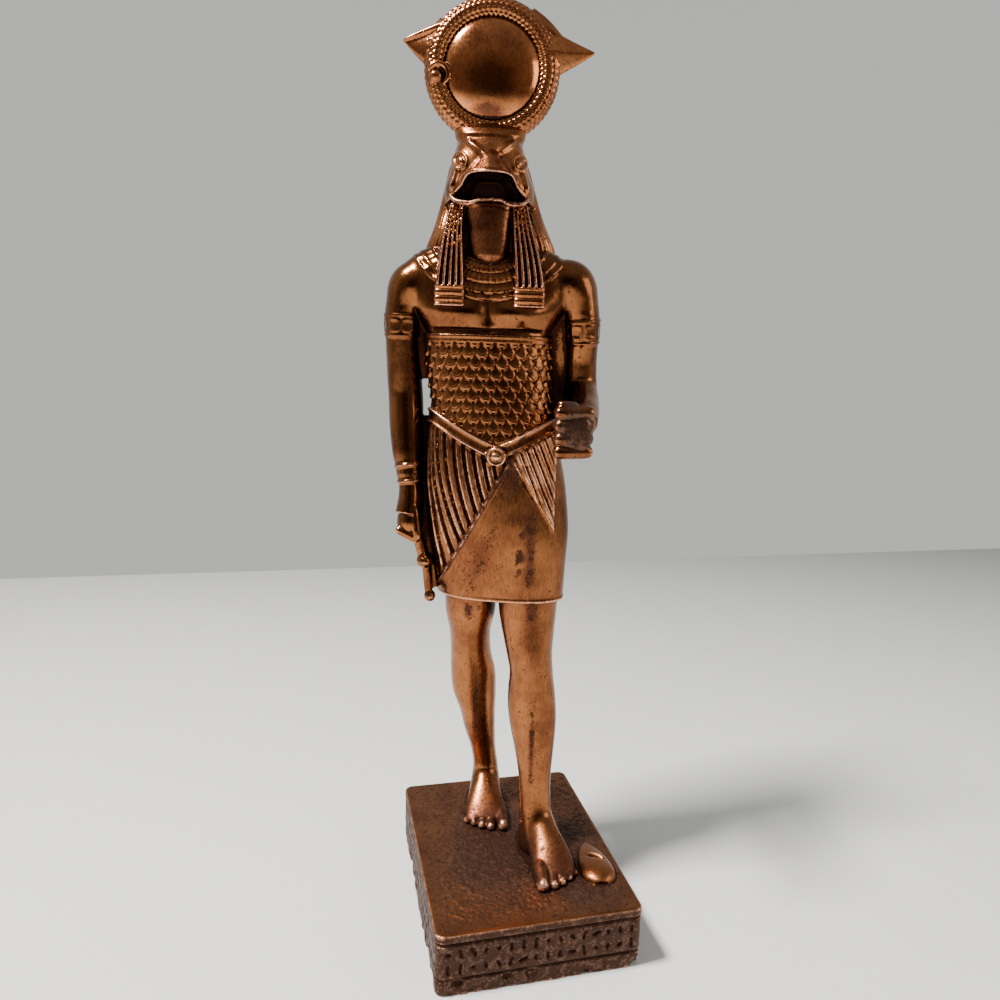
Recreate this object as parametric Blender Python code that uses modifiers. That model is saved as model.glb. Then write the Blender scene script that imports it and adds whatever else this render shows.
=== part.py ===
"""A copper-plated souvenir statuette of a falcon-headed sun god, striding on an oblong plinth.

The figure, the plinth and the small pad beside the front foot are one casting, so they are one solid.
The model stands on z = 0, its plinth is centred on the origin, and its front faces -Y.
"""
import bmesh
import bpy
import numpy as np
from math import cos, pi, radians, sin
from mathutils import Matrix, Vector

MM = 0.001

# Driving dimensions, in millimetres
PLINTH_WIDTH = 50.0
PLINTH_DEPTH = 62.5
PLINTH_HEIGHT = 15.4
PLINTH_CORNER = 2.2       # radius of the four upright corners
SLAB_THICKNESS = 1.8      # the smooth slab on top of the frieze
SLAB_EDGE = 0.7           # rounding of the slab's top edge
STEP_HEIGHT = 3.8         # the rough step below the frieze
GROOVE_WIDTH = 0.7        # the two dark grooves above and below the frieze
GROOVE_DEPTH = 0.6
STROKE_DEPTH = 0.5
STROKE_WIDTH = 0.9
STROKE_PITCH = 5.6
FIGURE_HEIGHT = 208.6     # from the plinth's top to the top of the serpent ring
FIGURE_TURN = -12.0       # degrees that the figure is turned on its plinth

# The figure keeps its proportions as shares of its own height. Its numbers are millimetres of a
# figure of this height, and its heights start at the underside of a plinth of this thickness.
DRAWN_HEIGHT = 208.6
GROUND = 15.4
SCALE = FIGURE_HEIGHT / DRAWN_HEIGHT
FIGURE_X = -0.02 * PLINTH_WIDTH
FIGURE_Y = 0.176 * PLINTH_DEPTH
SKIN = 0.34               # grid that fuses the figure's limbs into one skin
FACES_KEPT = 0.0142       # share of that skin's faces kept


def mix(a, b, t):
    return a + (b - a) * t


def ramp(low, high, x):
    """0 below low, 1 above high, and a soft rise between."""
    t = np.clip((x - low) / (high - low), 0.0, 1.0)
    return t * t * (3.0 - 2.0 * t)


def band(low, high, soft, x):
    """1 between low and high, with soft edges."""
    return ramp(low - soft, low + soft, x) * (1.0 - ramp(high - soft, high + soft, x))


def ridges(x, pitch, sharp=0.6):
    """Rounded ridges of height 1 with narrow grooves between."""
    return np.abs(np.cos(pi * x / pitch)) ** sharp


def folds(x, pitch):
    """Flat-topped folds of height 1 with narrow grooves between."""
    return ramp(0.0, 0.75, np.abs(np.cos(pi * x / pitch)))


def round_body(x, y, start):
    """Millimetres round a level section, from its front (start 0.75) or its back (start 0.25)."""
    run = np.cumsum(np.hypot(x - np.roll(x, 1), y - np.roll(y, 1)))
    return run - run[int(start * len(run))]


def through(rows, count):
    """A smooth curve through rows, the first column being the one that it runs along."""
    rows = np.array(rows, float)
    at = rows[:, 0]
    slopes = np.gradient(rows, at, axis=0)
    s = np.linspace(at[0], at[-1], count)
    way = np.sign(at[-1] - at[0])
    i = np.clip(np.searchsorted(at * way, s * way) - 1, 0, len(at) - 2)
    step = (at[i + 1] - at[i])[:, None]
    t = ((s - at[i])[:, None]) / step
    rise = t * t * (3.0 - 2.0 * t)
    start = t * (1.0 - t) ** 2 * slopes[i] * step
    end = t * t * (t - 1.0) * slopes[i + 1] * step
    return mix(rows[i], rows[i + 1], rise) + start + end


def skin(name, rings):
    """A closed mesh over a stack of rings, each an array of points."""
    rings = [np.asarray(r, float) for r in rings]
    n = len(rings[0])
    bm = bmesh.new()
    rows = [[bm.verts.new(p) for p in ring] for ring in rings]
    for low, high in zip(rows, rows[1:]):
        for k in range(n):
            bm.faces.new((low[k], low[(k + 1) % n], high[(k + 1) % n], high[k]))
    for row, ring in ((rows[0], rings[0]), (rows[-1], rings[-1])):
        middle = bm.verts.new(ring.mean(axis=0))
        for k in range(n):
            bm.faces.new((row[k], row[(k + 1) % n], middle))
    bmesh.ops.recalc_face_normals(bm, faces=bm.faces)
    return mesh_object(name, bm)


def mesh_object(name, bm):
    mesh = bpy.data.meshes.new(name)
    bm.to_mesh(mesh)
    bm.free()
    obj = bpy.data.objects.new(name, mesh)
    bpy.context.scene.collection.objects.link(obj)
    return obj


def oval(angles, power):
    """Points of a rounded box or an oval of half width 1, and the way out at each."""
    c, s = np.cos(angles), np.sin(angles)
    x = np.sign(c) * np.abs(c) ** (2.0 / power)
    y = np.sign(s) * np.abs(s) ** (2.0 / power)
    return x, y


def upright(name, rows, around, along, relief=None, power=2.2, skew=None):
    """A body built of level sections: rows hold z, centre x, centre y, half width, front, back."""
    angles = np.linspace(0.0, 2.0 * pi, around, endpoint=False)
    ox, oy = oval(angles, power)
    rings = []
    for z, cx, cy, half, front, back in through(rows, along):
        x = cx + half * ox
        y = cy + np.where(oy < 0.0, front, back) * oy
        if skew is not None:
            y = y + skew(z) * (x - cx)
        if relief is not None:
            out = relief(x, y, z, cx, cy)
            length = np.hypot(ox * front, oy * half) + 1e-9
            x = x + out * ox * front / length
            y = y + out * oy * half / length
        rings.append(np.stack([x, y, np.full_like(x, z)], axis=1))
    return skin(name, rings)


def limb(name, rows, around, along, relief=None):
    """A limb along a path: rows hold a running number, x, y, z, radius across and radius in depth."""
    path = through(rows, along)
    points = path[:, 1:4]
    ahead = np.gradient(points, axis=0)
    ahead /= np.linalg.norm(ahead, axis=1)[:, None]
    angles = np.linspace(0.0, 2.0 * pi, around, endpoint=False)
    rings = []
    for point, way, (across, deep), run in zip(points, ahead, path[:, 4:6], path[:, 0]):
        side = np.array([1.0, 0.0, 0.0]) - way * way[0]
        side /= np.linalg.norm(side)
        up = np.cross(way, side)
        swell = 0.0 if relief is None else relief(run, angles)
        ring = (np.cos(angles) * (across + swell))[:, None] * side
        ring = ring + (np.sin(angles) * (deep + swell))[:, None] * up
        rings.append(point + ring)
    return skin(name, rings)


def ball(name, centre, radii, turn=(0.0, 0.0, 0.0), segments=32):
    bpy.ops.mesh.primitive_uv_sphere_add(segments=segments, ring_count=segments // 2, radius=1.0,
                                         location=centre, rotation=turn, scale=radii)
    obj = bpy.context.object
    obj.name = name
    return obj


def sausage(name, start, end, radius, last=None):
    """A rounded bar from start to end, such as a finger or a toe."""
    start, end = Vector(start), Vector(end)
    last = radius if last is None else last
    way = (end - start).normalized()
    side = way.orthogonal().normalized()
    other = way.cross(side)
    length = (end - start).length
    rings = []
    for k in range(17):
        t = k / 16.0
        r = mix(radius, last, t)
        bulge = max(1.0 - abs(2.0 * t - 1.0) ** 6, 0.0) ** 0.5
        along = start + way * (length + 2.0 * r) * t - way * r
        wide = max(r * bulge, 0.02)
        rings.append([along + side * wide * cos(a) + other * wide * sin(a)
                      for a in np.linspace(0.0, 2.0 * pi, 16, endpoint=False)])
    return skin(name, rings)


# The kilt, belt, corselet and chest, in one upright form
MIDDLE = -3.9             # x of the buckle
BELT_LOW = 119.6          # height of the belt's middle line at the buckle
BELT_RISE = 8.2           # how much higher the belt is at the hips
BELT_HALF = 1.75
HEM = 81.2
CORSELET_TOP = 147.6
PLEAT_PITCH = 2.5
PLEAT_DEPTH = 1.0
FLANK = -19.7             # the groove, counted round the body at the belt, beyond which pleats are narrow
FLANK_PITCH = 1.6
BACK_PITCH = 2.1
APRON_TOP = (-1.8, 116.0)
APRON_FOOT = (-19.4, 82.6)
TONGUE_TIP = (12.6, 101.0)


def belt_height(x, front):
    """Height of the belt's middle line: a V at the front and level behind."""
    spread = np.clip(np.abs(x - MIDDLE) / 16.0, 0.0, 1.0)
    return np.where(front, BELT_LOW + BELT_RISE * spread ** 1.2, BELT_LOW + BELT_RISE)


def pleat_start(across, z):
    """Where at the belt the pleat through a place begins. Pleats swing inwards as they fall."""
    start = np.linspace(-34.0, 26.0, 241)
    fall = np.maximum(belt_height(start, True) - BELT_HALF - z, 0.0)
    curve = mix(0.0034, 0.0088, ramp(-24.5, -18.5, start))
    lean = 0.15 * ramp(-18.0, -5.0, start)
    return np.interp(across, start + curve * fall ** 2 + lean * fall, start)


def kilt_relief(x, y, z, cx, cy):
    """Pleats at the left and behind, a smooth wrapped apron, and a pleated tongue at the right."""
    front = y < cy
    below = belt_height(x, front) - BELT_HALF - z
    start = pleat_start(cx + round_body(x, y, 0.75), z) - FLANK
    count = start / np.where(start > 0.0, PLEAT_PITCH, FLANK_PITCH) + 0.5
    pleats = np.where(front, folds(count, 1.0), folds(round_body(x, y, 0.25), BACK_PITCH))
    lean = (APRON_TOP[0] - APRON_FOOT[0]) / (APRON_TOP[1] - APRON_FOOT[1])
    edge = APRON_TOP[0] + (z - APRON_TOP[1]) * lean
    pleated = np.where(front, 1.0 - ramp(edge - 0.3, edge + 0.3, x), 1.0)
    out = pleated * (pleats * PLEAT_DEPTH - 0.9)
    slope = (x - 0.2) * (TONGUE_TIP[1] - 117.0) / (TONGUE_TIP[0] - 0.2) + 117.0
    tongue = np.where(front, ramp(-0.35, 0.35, z - slope), 0.0) * ramp(-0.5, 1.5, x)
    out = out + tongue * (0.1 + 0.8 * folds(x - 0.42 * (118.0 - z), PLEAT_PITCH))
    return out * ramp(-0.1, 0.5, below)


def belt_relief(x, y, z, cx, cy):
    front = y < cy
    off = np.abs(z - belt_height(x, front))
    strap = 1.0 - ramp(BELT_HALF - 0.15, BELT_HALF + 0.25, off)
    rims = band(BELT_HALF - 0.75, BELT_HALF - 0.1, 0.15, off)
    return 0.45 * strap + 0.35 * rims


def chest_relief(x, y, z, cx, cy):
    """The corselet's top band, the breast muscles above it and the collar's rows."""
    front = (y < cy) * 1.0
    out = 0.45 * band(CORSELET_TOP - 2.0, CORSELET_TOP, 0.2, z)
    out = out - 0.5 * band(CORSELET_TOP + 0.1, CORSELET_TOP + 1.4, 0.4, z)
    side = np.abs(x - cx)
    muscle = np.exp(-((side - 7.0) / 5.5) ** 2 - ((z - 152.3) / 3.0) ** 2)
    line = np.exp(-(side / 0.9) ** 2) * band(149.0, 156.0, 1.0, z)
    out = out + front * (1.3 * muscle - 0.9 * line)
    reach = np.hypot(side / 19.5, (z - 172.0) / 16.3)
    collar = band(0.5, 1.0, 0.02, reach)
    rows = ridges(reach - 1.0, 0.145, 0.5)
    return out + collar * (0.25 + 0.35 * rows) * ramp(150.0, 156.0, z)


def torso_relief(x, y, z, cx, cy):
    out = belt_relief(x, y, z, cx, cy) + kilt_relief(x, y, z, cx, cy)
    return out + chest_relief(x, y, z, cx, cy)


def torso():
    rows = [
        (HEM, -1.5, 0.2, 16.4, 9.4, 8.6),
        (84.0, -2.2, 0.2, 17.2, 9.6, 9.0),
        (90.0, -2.4, 0.1, 17.6, 9.8, 9.8),
        (100.0, -2.8, 0.0, 18.4, 10.2, 11.0),
        (105.0, -3.1, 0.0, 18.3, 10.2, 11.2),
        (112.0, -3.8, 0.0, 18.0, 10.0, 10.6),
        (118.0, -4.3, 0.0, 17.2, 9.8, 9.5),
        (123.0, -4.7, 0.0, 16.5, 9.5, 8.5),
        (128.0, -4.9, 0.0, 15.8, 9.2, 7.9),
        (131.0, -5.2, 0.0, 15.4, 9.0, 7.7),
        (136.0, -5.8, 0.0, 15.6, 9.0, 7.8),
        (142.0, -6.4, 0.0, 15.9, 9.2, 8.2),
        (147.0, -6.7, 0.0, 15.7, 9.3, 8.8),
        (150.5, -6.8, 0.0, 17.0, 9.0, 9.2),
        (154.0, -6.9, 0.0, 19.0, 9.2, 9.4),
        (158.0, -6.9, 0.2, 20.8, 8.9, 9.2),
        (161.5, -6.8, 0.4, 22.2, 8.2, 8.6),
        (164.5, -6.8, 0.5, 20.9, 7.2, 7.8),
        (167.0, -6.8, 0.6, 17.4, 6.2, 6.8),
        (169.0, -6.9, 0.6, 13.0, 5.0, 5.6),
        (170.5, -6.9, 0.6, 8.0, 3.6, 4.4),
    ]
    lag = lambda z: -0.13 * (1.0 - ramp(84.0, 112.0, z))
    return upright("torso", rows, 300, 400, torso_relief, 2.3, lag)


def buckle():
    plate = ball("buckle", (MIDDLE, -10.0, BELT_LOW - 0.9), (2.9, 1.3, 2.1))
    boss = ball("buckle_boss", (MIDDLE, -11.0, BELT_LOW - 0.9), (1.6, 0.9, 1.1))
    return [plate, boss]


def legs():
    rear = [
        (84.0, -9.3, 2.6, 6.9, 7.0, 7.6),
        (75.1, -9.25, 3.4, 6.65, 6.6, 7.0),
        (69.1, -9.2, 4.3, 5.6, 6.2, 5.9),
        (62.9, -8.85, 5.3, 5.55, 5.8, 5.5),
        (56.7, -8.1, 6.3, 6.2, 5.2, 6.8),
        (50.2, -7.55, 7.4, 6.05, 4.8, 7.0),
        (43.7, -6.5, 8.4, 5.0, 4.4, 6.0),
        (37.0, -5.6, 9.4, 4.3, 4.1, 4.8),
        (30.3, -4.35, 10.4, 3.65, 3.8, 4.0),
        (25.5, -3.7, 10.9, 3.7, 4.2, 4.3),
        (20.0, -3.5, 10.8, 3.9, 5.0, 4.8),
        (GROUND - 0.6, -3.5, 10.5, 4.1, 5.5, 5.2),
    ]
    front = [
        (84.0, 5.9, -1.8, 7.9, 7.6, 7.2),
        (77.0, 5.85, -2.4, 7.55, 7.2, 7.0),
        (71.8, 6.15, -3.2, 6.85, 6.9, 6.2),
        (66.6, 6.6, -4.1, 6.1, 6.6, 5.6),
        (61.4, 7.3, -5.0, 5.75, 6.0, 6.0),
        (56.2, 7.5, -5.9, 6.2, 5.4, 7.0),
        (50.9, 7.85, -6.8, 6.35, 5.0, 7.2),
        (45.7, 8.25, -7.7, 5.85, 4.8, 6.4),
        (40.5, 8.65, -8.6, 5.05, 4.5, 5.4),
        (35.3, 8.9, -9.5, 4.4, 4.3, 4.7),
        (29.0, 9.2, -10.4, 4.2, 4.4, 4.4),
        (24.0, 9.5, -11.0, 4.3, 5.2, 4.8),
        (19.0, 9.7, -11.2, 4.5, 6.0, 5.2),
        (GROUND - 0.6, 9.8, -11.2, 4.6, 6.4, 5.4),
    ]
    return [upright("rear_leg", rear, 64, 90, power=2.0), upright("front_leg", front, 64, 90, power=2.0)]


def foot(name, rows, toes):
    """A foot in sections from heel to ball, each y, centre x, half width and height, with its toes."""
    angles = np.linspace(0.0, 2.0 * pi, 48, endpoint=False)
    sink = 0.7
    rings = []
    for y, cx, half, height in through(rows, 50):
        x = cx + half * np.cos(angles)
        z = GROUND - sink + (height + sink) * 0.5 * (1.0 + np.sin(angles))
        rings.append(np.stack([x, np.full_like(x, y), z], axis=1))
    parts = [skin(name, rings)]
    for k, (x, tip, root_x, root_y, r) in enumerate(toes):
        root = (root_x, root_y, GROUND + r * 1.5)
        end = (x, tip + r, GROUND + r * 0.75)
        parts.append(sausage(f"{name}_toe_{k + 1}", root, end, r * 1.05, r))
    return parts


def feet():
    rear = [(17.0, -3.6, 1.6, 4.0), (15.6, -3.6, 3.3, 8.0), (13.0, -3.5, 3.9, 11.0), (9.5, -3.6, 4.2, 12.0),
            (6.0, -3.7, 4.5, 9.8), (2.0, -3.6, 5.3, 6.8), (-1.0, -3.4, 5.9, 4.6), (-3.0, -3.3, 5.7, 3.3),
            (-4.0, -3.3, 5.2, 2.5)]
    rear_toes = [(1.3, -7.3, 0.9, -0.6, 1.55), (-2.1, -7.3, -2.0, -1.5, 1.15), (-4.5, -6.4, -4.0, -1.2, 1.1),
                 (-6.7, -5.2, -5.9, -0.6, 1.05), (-8.6, -3.9, -7.4, 0.4, 1.0)]
    front = [(-5.2, 9.9, 1.6, 4.0), (-6.5, 9.9, 3.4, 8.0), (-9.0, 9.8, 4.1, 11.0), (-12.5, 10.2, 4.4, 12.0),
             (-16.0, 11.2, 4.7, 9.8), (-20.0, 12.8, 5.1, 7.0), (-23.5, 13.4, 5.3, 4.7),
             (-25.6, 13.4, 5.0, 3.4), (-26.8, 13.2, 4.4, 2.6)]
    front_toes = [(10.4, -31.4, 10.0, -24.5, 1.6), (13.2, -30.3, 12.6, -25.0, 1.15),
                  (15.2, -29.0, 14.4, -24.5, 1.1), (17.0, -27.3, 15.9, -23.5, 1.05),
                  (18.5, -25.3, 17.1, -22.0, 1.0)]
    return foot("rear_foot", rear, rear_toes) + foot("front_foot", front, front_toes)


def bracelet(start, end, height):
    """A raised band on a limb between two places along it."""
    return lambda run, angles: height * float(band(start, end, 0.12, np.array(run)))


def hanging_arm():
    """The figure's right arm, straight down, with an armlet and a pair of bracelets."""
    rows = [
        (0.0, -21.5, 0.6, 160.6, 4.8, 5.6),
        (0.8, -25.2, 0.6, 159.4, 5.8, 6.4),
        (2.0, -27.4, 0.6, 154.6, 4.9, 5.6),
        (3.5, -27.9, 0.7, 148.5, 4.4, 5.1),
        (5.2, -27.7, 1.1, 140.0, 4.3, 4.8),
        (7.0, -27.1, 1.3, 131.5, 4.4, 4.6),
        (8.3, -26.8, 0.4, 125.0, 4.3, 4.5),
        (9.7, -26.3, -0.7, 118.0, 3.9, 4.1),
        (11.0, -25.6, -1.7, 111.6, 2.9, 3.4),
        (12.0, -25.3, -2.2, 106.8, 3.1, 3.9),
        (12.8, -25.6, -2.7, 102.6, 3.5, 4.4),
    ]

    def swell(run, angles):
        return bracelet(2.65, 3.85, 0.45)(run, angles) + bracelet(10.35, 11.2, 0.4)(run, angles)

    arm = limb("hanging_arm", rows, 48, 160, swell)
    palm = ball("hanging_palm", (-25.4, -2.6, 100.4), (3.3, 4.3, 5.0))
    fingers = []
    for k in range(4):
        root = (-27.6, -5.6 + 2.0 * k, 98.6 - 0.5 * k)
        fingers.append(sausage(f"hanging_finger_{k}", root, (-23.6, -5.8 + 2.0 * k, 96.6), 1.25))
    thumb = sausage("hanging_thumb", (-24.2, -5.2, 104.5), (-23.2, -6.2, 97.2), 1.3, 1.15)
    return [arm, palm, thumb] + fingers


def held_rod():
    """The short rod below the hanging fist, with a knob and a rounded foot, close to the kilt."""
    grip = sausage("rod_grip", (-23.6, -3.6, 97.5), (-21.9, -3.6, 91.5), 1.3)
    knob = ball("rod_knob", (-21.4, -3.8, 90.4), (2.1, 2.3, 1.9))
    shaft = sausage("rod_shaft", (-21.0, -3.8, 89.0), (-20.2, -3.8, 81.8), 1.05)
    end = ball("rod_end", (-19.9, -3.8, 81.0), (1.5, 1.6, 1.6))
    return [grip, knob, shaft, end]


def bent_arm():
    """The figure's left arm, bent at the elbow, with the fist that held the lost staff."""
    rows = [
        (0.0, 9.4, 0.6, 161.8, 4.8, 5.6),
        (0.8, 13.2, 0.6, 160.9, 5.9, 6.4),
        (2.0, 15.9, 0.8, 155.2, 5.0, 5.6),
        (3.5, 16.8, 1.4, 148.5, 4.4, 5.1),
        (5.0, 17.0, 2.4, 141.0, 4.3, 4.7),
        (6.2, 17.3, 1.9, 135.0, 4.4, 4.8),
        (7.2, 17.4, -3.0, 131.2, 4.3, 4.8),
        (8.4, 16.8, -8.5, 129.2, 4.1, 4.3),
        (9.7, 15.6, -14.0, 127.8, 3.5, 3.6),
        (10.6, 14.4, -17.8, 126.8, 3.1, 3.6),
    ]

    def swell(run, angles):
        return bracelet(2.65, 3.85, 0.45)(run, angles) + bracelet(9.4, 10.1, 0.4)(run, angles)

    arm = limb("bent_arm", rows, 48, 160, swell)
    palm = ball("bent_palm", (13.5, -21.2, 126.2), (4.3, 3.9, 5.9))
    thumb = sausage("bent_thumb", (13.4, -20.0, 131.8), (10.2, -23.2, 132.2), 1.2)
    fingers = []
    for k in range(4):
        z = 130.6 - 2.95 * k
        fingers.append(sausage(f"bent_finger_{k}", (16.2, -23.4 + 0.1 * k, z + 0.2), (10.0, -24.1, z), 1.62))
        fingers.append(sausage(f"bent_fingertip_{k}", (9.9, -23.9, z), (10.2, -20.5, z - 0.2), 1.5))
    return [arm, palm, thumb] + fingers


def webs():
    """Metal left in the casting between each arm and the body, set back in shadow."""
    left_armpit = [(136.6, -23.4, 2.2, 2.6, 1.8, 2.2), (138.5, -23.4, 2.2, 3.4, 2.4, 2.6),
                   (157.0, -23.4, 1.0, 4.0, 3.6, 3.6)]
    left_hip = [(83.0, -19.6, -2.0, 1.9, 1.6, 3.0), (92.0, -20.6, -1.6, 2.0, 1.8, 3.0),
                (99.0, -22.0, -0.6, 2.6, 2.2, 3.0), (110.0, -22.6, 0.4, 2.6, 2.2, 2.4),
                (127.4, -22.8, 1.4, 2.6, 2.0, 2.0)]
    right_armpit = [(127.0, 12.0, 3.4, 4.4, 2.4, 2.6), (140.0, 11.8, 3.0, 4.4, 2.8, 3.0),
                    (157.0, 10.6, 1.0, 4.4, 3.6, 3.6)]
    return [upright("left_armpit", left_armpit, 24, 30, power=3.0),
            upright("left_hip", left_hip, 24, 50, power=3.0),
            upright("right_armpit", right_armpit, 24, 40, power=3.0)]


# The falcon head, its wig and the sun disc in its serpent ring
HEAD_X = -7.4
BEAK_TOP = 189.6
BEAK_EDGE = 183.3         # height of the beak's lower edge at its middle
BEAK_REACH = 4.8          # how far the beak stands out of the face
CHEEK_DROP = 5.2          # how much lower that edge is at the cheeks
CHIN = 177.4
WIG_RIBS = 15             # half the number of ribs round the wig
DISC_X = -7.5
DISC_Z = 208.6
DISC_RADIUS = 11.2
RING_RADIUS = 13.1        # to the middle of the serpent's body
RING_HALF = 2.95


def head_relief(x, y, z, cx, cy):
    """The beak above its arched edge, the hollow under it, the brow and the eyes."""
    front = (y < cy) * 1.0
    side = np.abs(x - HEAD_X)
    arch = BEAK_EDGE - CHEEK_DROP * ramp(4.4, 8.6, side)
    down = np.clip((BEAK_TOP - z) / (BEAK_TOP - BEAK_EDGE), 0.0, 1.0)
    wedge = np.clip(1.0 - (side / (0.9 + 5.4 * down)) ** 1.6, 0.0, 1.0)
    beak = BEAK_REACH * wedge * down ** 0.8
    cheek = 0.9 * np.exp(-((side - 8.6) / 2.0) ** 2 - ((z - 180.3) / 2.2) ** 2)
    hollow = -3.8 * (1.0 - ramp(5.4, 9.0, side)) * ramp(CHIN + 0.4, CHIN + 1.0, z)
    eye = np.exp(-((side - 6.3) / 1.7) ** 2 - ((z - 188.2) / 1.1) ** 2)
    brow = np.exp(-((side - 5.4) / 3.6) ** 2 - ((z - 190.3) / 0.6) ** 2)
    return front * np.where(z > arch, beak + cheek + 0.5 * eye + 0.6 * brow, hollow)


def head():
    rows = [
        (176.2, -7.3, 0.4, 9.6, 6.6, 10.0),
        (178.5, -7.2, 0.3, 10.5, 7.8, 10.4),
        (181.0, -7.3, 0.0, 10.4, 8.4, 10.2),
        (184.0, -7.4, 0.0, 9.9, 8.4, 9.8),
        (187.0, -7.5, 0.0, 9.2, 8.0, 9.2),
        (190.0, -7.5, 0.2, 8.4, 7.4, 8.2),
        (192.5, -7.5, 0.4, 7.9, 6.4, 6.8),
        (194.6, -7.5, 0.4, 8.0, 4.8, 5.2),
        (196.6, -7.5, 0.2, 8.7, 2.8, 3.0),
    ]
    return upright("head", rows, 200, 150, head_relief, 2.3)


def wig_relief(x, y, z, cx, cy):
    """Ribs that fan out from the temples."""
    angle = np.arctan2(y - cy, x - cx)
    return 0.7 * np.abs(np.cos(angle * WIG_RIBS)) ** 0.7 * (1.0 - ramp(186.0, 192.0, z)) - 0.4


def wig():
    rows = [
        (148.0, -6.8, 3.0, 9.0, 1.0, 7.6),
        (152.0, -6.8, 3.0, 9.6, 1.0, 7.9),
        (158.0, -6.8, 3.0, 11.0, 2.0, 8.0),
        (163.0, -6.8, 2.6, 14.0, 5.0, 8.2),
        (166.0, -6.7, 2.0, 16.2, 7.0, 8.6),
        (168.5, -6.6, 1.6, 15.7, 7.6, 8.9),
        (172.5, -6.7, 1.4, 14.0, 7.2, 9.3),
        (177.0, -7.0, 1.4, 12.4, 4.6, 9.7),
        (181.8, -7.2, 1.4, 11.0, 3.6, 10.0),
        (186.4, -7.4, 1.4, 9.8, 4.0, 9.4),
        (190.0, -7.5, 1.2, 8.7, 5.0, 8.0),
        (193.0, -7.5, 0.8, 7.9, 4.0, 5.6),
    ]
    return upright("wig", rows, 264, 120, wig_relief, 2.2)


def lappet(name, rows):
    """One front lock of the wig: rows hold z, inner x, outer x and front y. Ribbed, with banded ends."""
    around = np.linspace(0.0, 2.0 * pi, 96, endpoint=False)
    ox, oy = oval(around, 5.0)
    rings = []
    for z, inner, outer, front in through(rows, 140):
        middle, half = 0.5 * (inner + outer), 0.5 * abs(outer - inner)
        x = middle + half * ox
        ribs = 0.85 * ridges(ox, 0.4, 0.7) * ramp(158.7, 159.2, z)
        bands = (0.25 + 0.45 * ridges(np.full_like(ox, z - 154.1), 1.55, 0.5)) * ramp(159.0, 158.4, z)
        y = front + 2.2 + 2.2 * oy - np.where(oy < -0.3, ribs + bands - 0.55, 0.0)
        rings.append(np.stack([x, y, np.full_like(x, z)], axis=1))
    return skin(name, rings)


def lappets():
    left = [(154.0, -12.5, -19.8, -10.3), (159.0, -12.5, -19.7, -10.2), (166.0, -12.9, -18.9, -9.0),
            (173.0, -13.3, -17.6, -7.4), (178.0, -13.2, -16.4, -6.4), (180.0, -13.2, -15.8, -5.6)]
    right = [(154.2, -1.1, 6.5, -10.3), (159.2, -1.1, 6.4, -10.2), (166.0, -1.4, 5.1, -9.0),
             (173.0, -1.8, 3.0, -7.4), (178.0, -2.0, 1.7, -6.4), (180.0, -2.0, 1.2, -5.6)]
    return [lappet("left_lappet", left), lappet("right_lappet", right)]


def throat():
    rows = [(163.6, -6.9, -3.0, 2.4, 3.2, 3.0), (165.0, -6.9, -3.0, 4.2, 4.7, 3.0),
            (168.0, -7.0, -3.0, 5.3, 5.2, 3.0), (173.0, -7.1, -3.0, 5.7, 4.9, 3.0),
            (177.0, -7.2, -3.0, 6.0, 4.7, 3.0), (177.8, -7.2, -3.0, 5.9, 4.4, 3.0)]
    return upright("throat", rows, 64, 60, power=2.4)


def torus(name, centre, major, minor, turn):
    bpy.ops.mesh.primitive_torus_add(location=centre, rotation=turn, major_radius=major, minor_radius=minor,
                                     major_segments=96, minor_segments=24)
    obj = bpy.context.object
    obj.name = name
    return obj


def spike(name, root, tip, wide, deep, bend, fine):
    """A horn-like point, lofted from its root to its tip along a bent line. fine over 1 hollows its sides."""
    root, tip = np.array(root), np.array(tip)
    rings = []
    for t in np.linspace(0.0, 1.0, 24):
        middle = mix(root, tip, t) + np.array(bend) * sin(pi * t)
        fall = (1.0 - t) ** fine + 0.05
        ring = [middle + np.array([0.0, deep * fall * sin(a), wide * fall * cos(a)])
                for a in np.linspace(0.0, 2.0 * pi, 28, endpoint=False)]
        rings.append(ring)
    return skin(name, rings)


def crown():
    """The sun disc inside the coiled serpent, with its two side points and the small curl at the left."""
    disc = ball("sun_disc", (DISC_X, -0.6, DISC_Z), (DISC_RADIUS + 0.6, 4.2, DISC_RADIUS + 0.6))
    web = ball("disc_web", (DISC_X, 0.0, DISC_Z), (RING_RADIUS, 1.9, RING_RADIUS))
    ring = torus("serpent_ring", (DISC_X, 0.0, DISC_Z), RING_RADIUS, RING_HALF, (pi / 2.0, 0.0, 0.0))
    left = spike("left_horn", (-19.8, 0.0, 213.4), (-28.6, 0.0, 214.6), 6.0, 2.4, (0.0, 0.0, -1.1), 1.25)
    right = spike("right_point", (5.2, 0.0, 212.6), (16.6, 0.0, 213.5), 5.6, 2.4, (0.0, 0.0, -0.2), 1.0)
    step = spike("right_shoulder", (1.6, 0.0, 219.0), (10.2, 0.0, 214.6), 3.4, 2.2, (0.0, 0.0, 0.6), 0.7)
    curl = torus("serpent_curl", (-19.6, -3.2, 207.2), 2.0, 0.85, (pi / 2.0, 0.0, 0.0))
    foot_left = ball("crown_foot_left", (-14.2, 0.0, 197.4), (2.6, 2.8, 2.8))
    foot_right = ball("crown_foot_right", (-0.6, 0.0, 197.4), (2.6, 2.8, 2.8))
    return [disc, web, ring, left, right, step, curl, foot_left, foot_right]


def fuse(name, parts, place):
    """Gathers the parts' meshes in one object, each part placed by its own matrix and then by place."""
    bm = bmesh.new()
    for part in parts:
        bpy.context.view_layer.update()
        mesh = part.data
        mesh.transform(place @ part.matrix_world)
        bm.from_mesh(mesh)
        bpy.data.objects.remove(part)
        bpy.data.meshes.remove(mesh)
    return mesh_object(name, bm)


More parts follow.
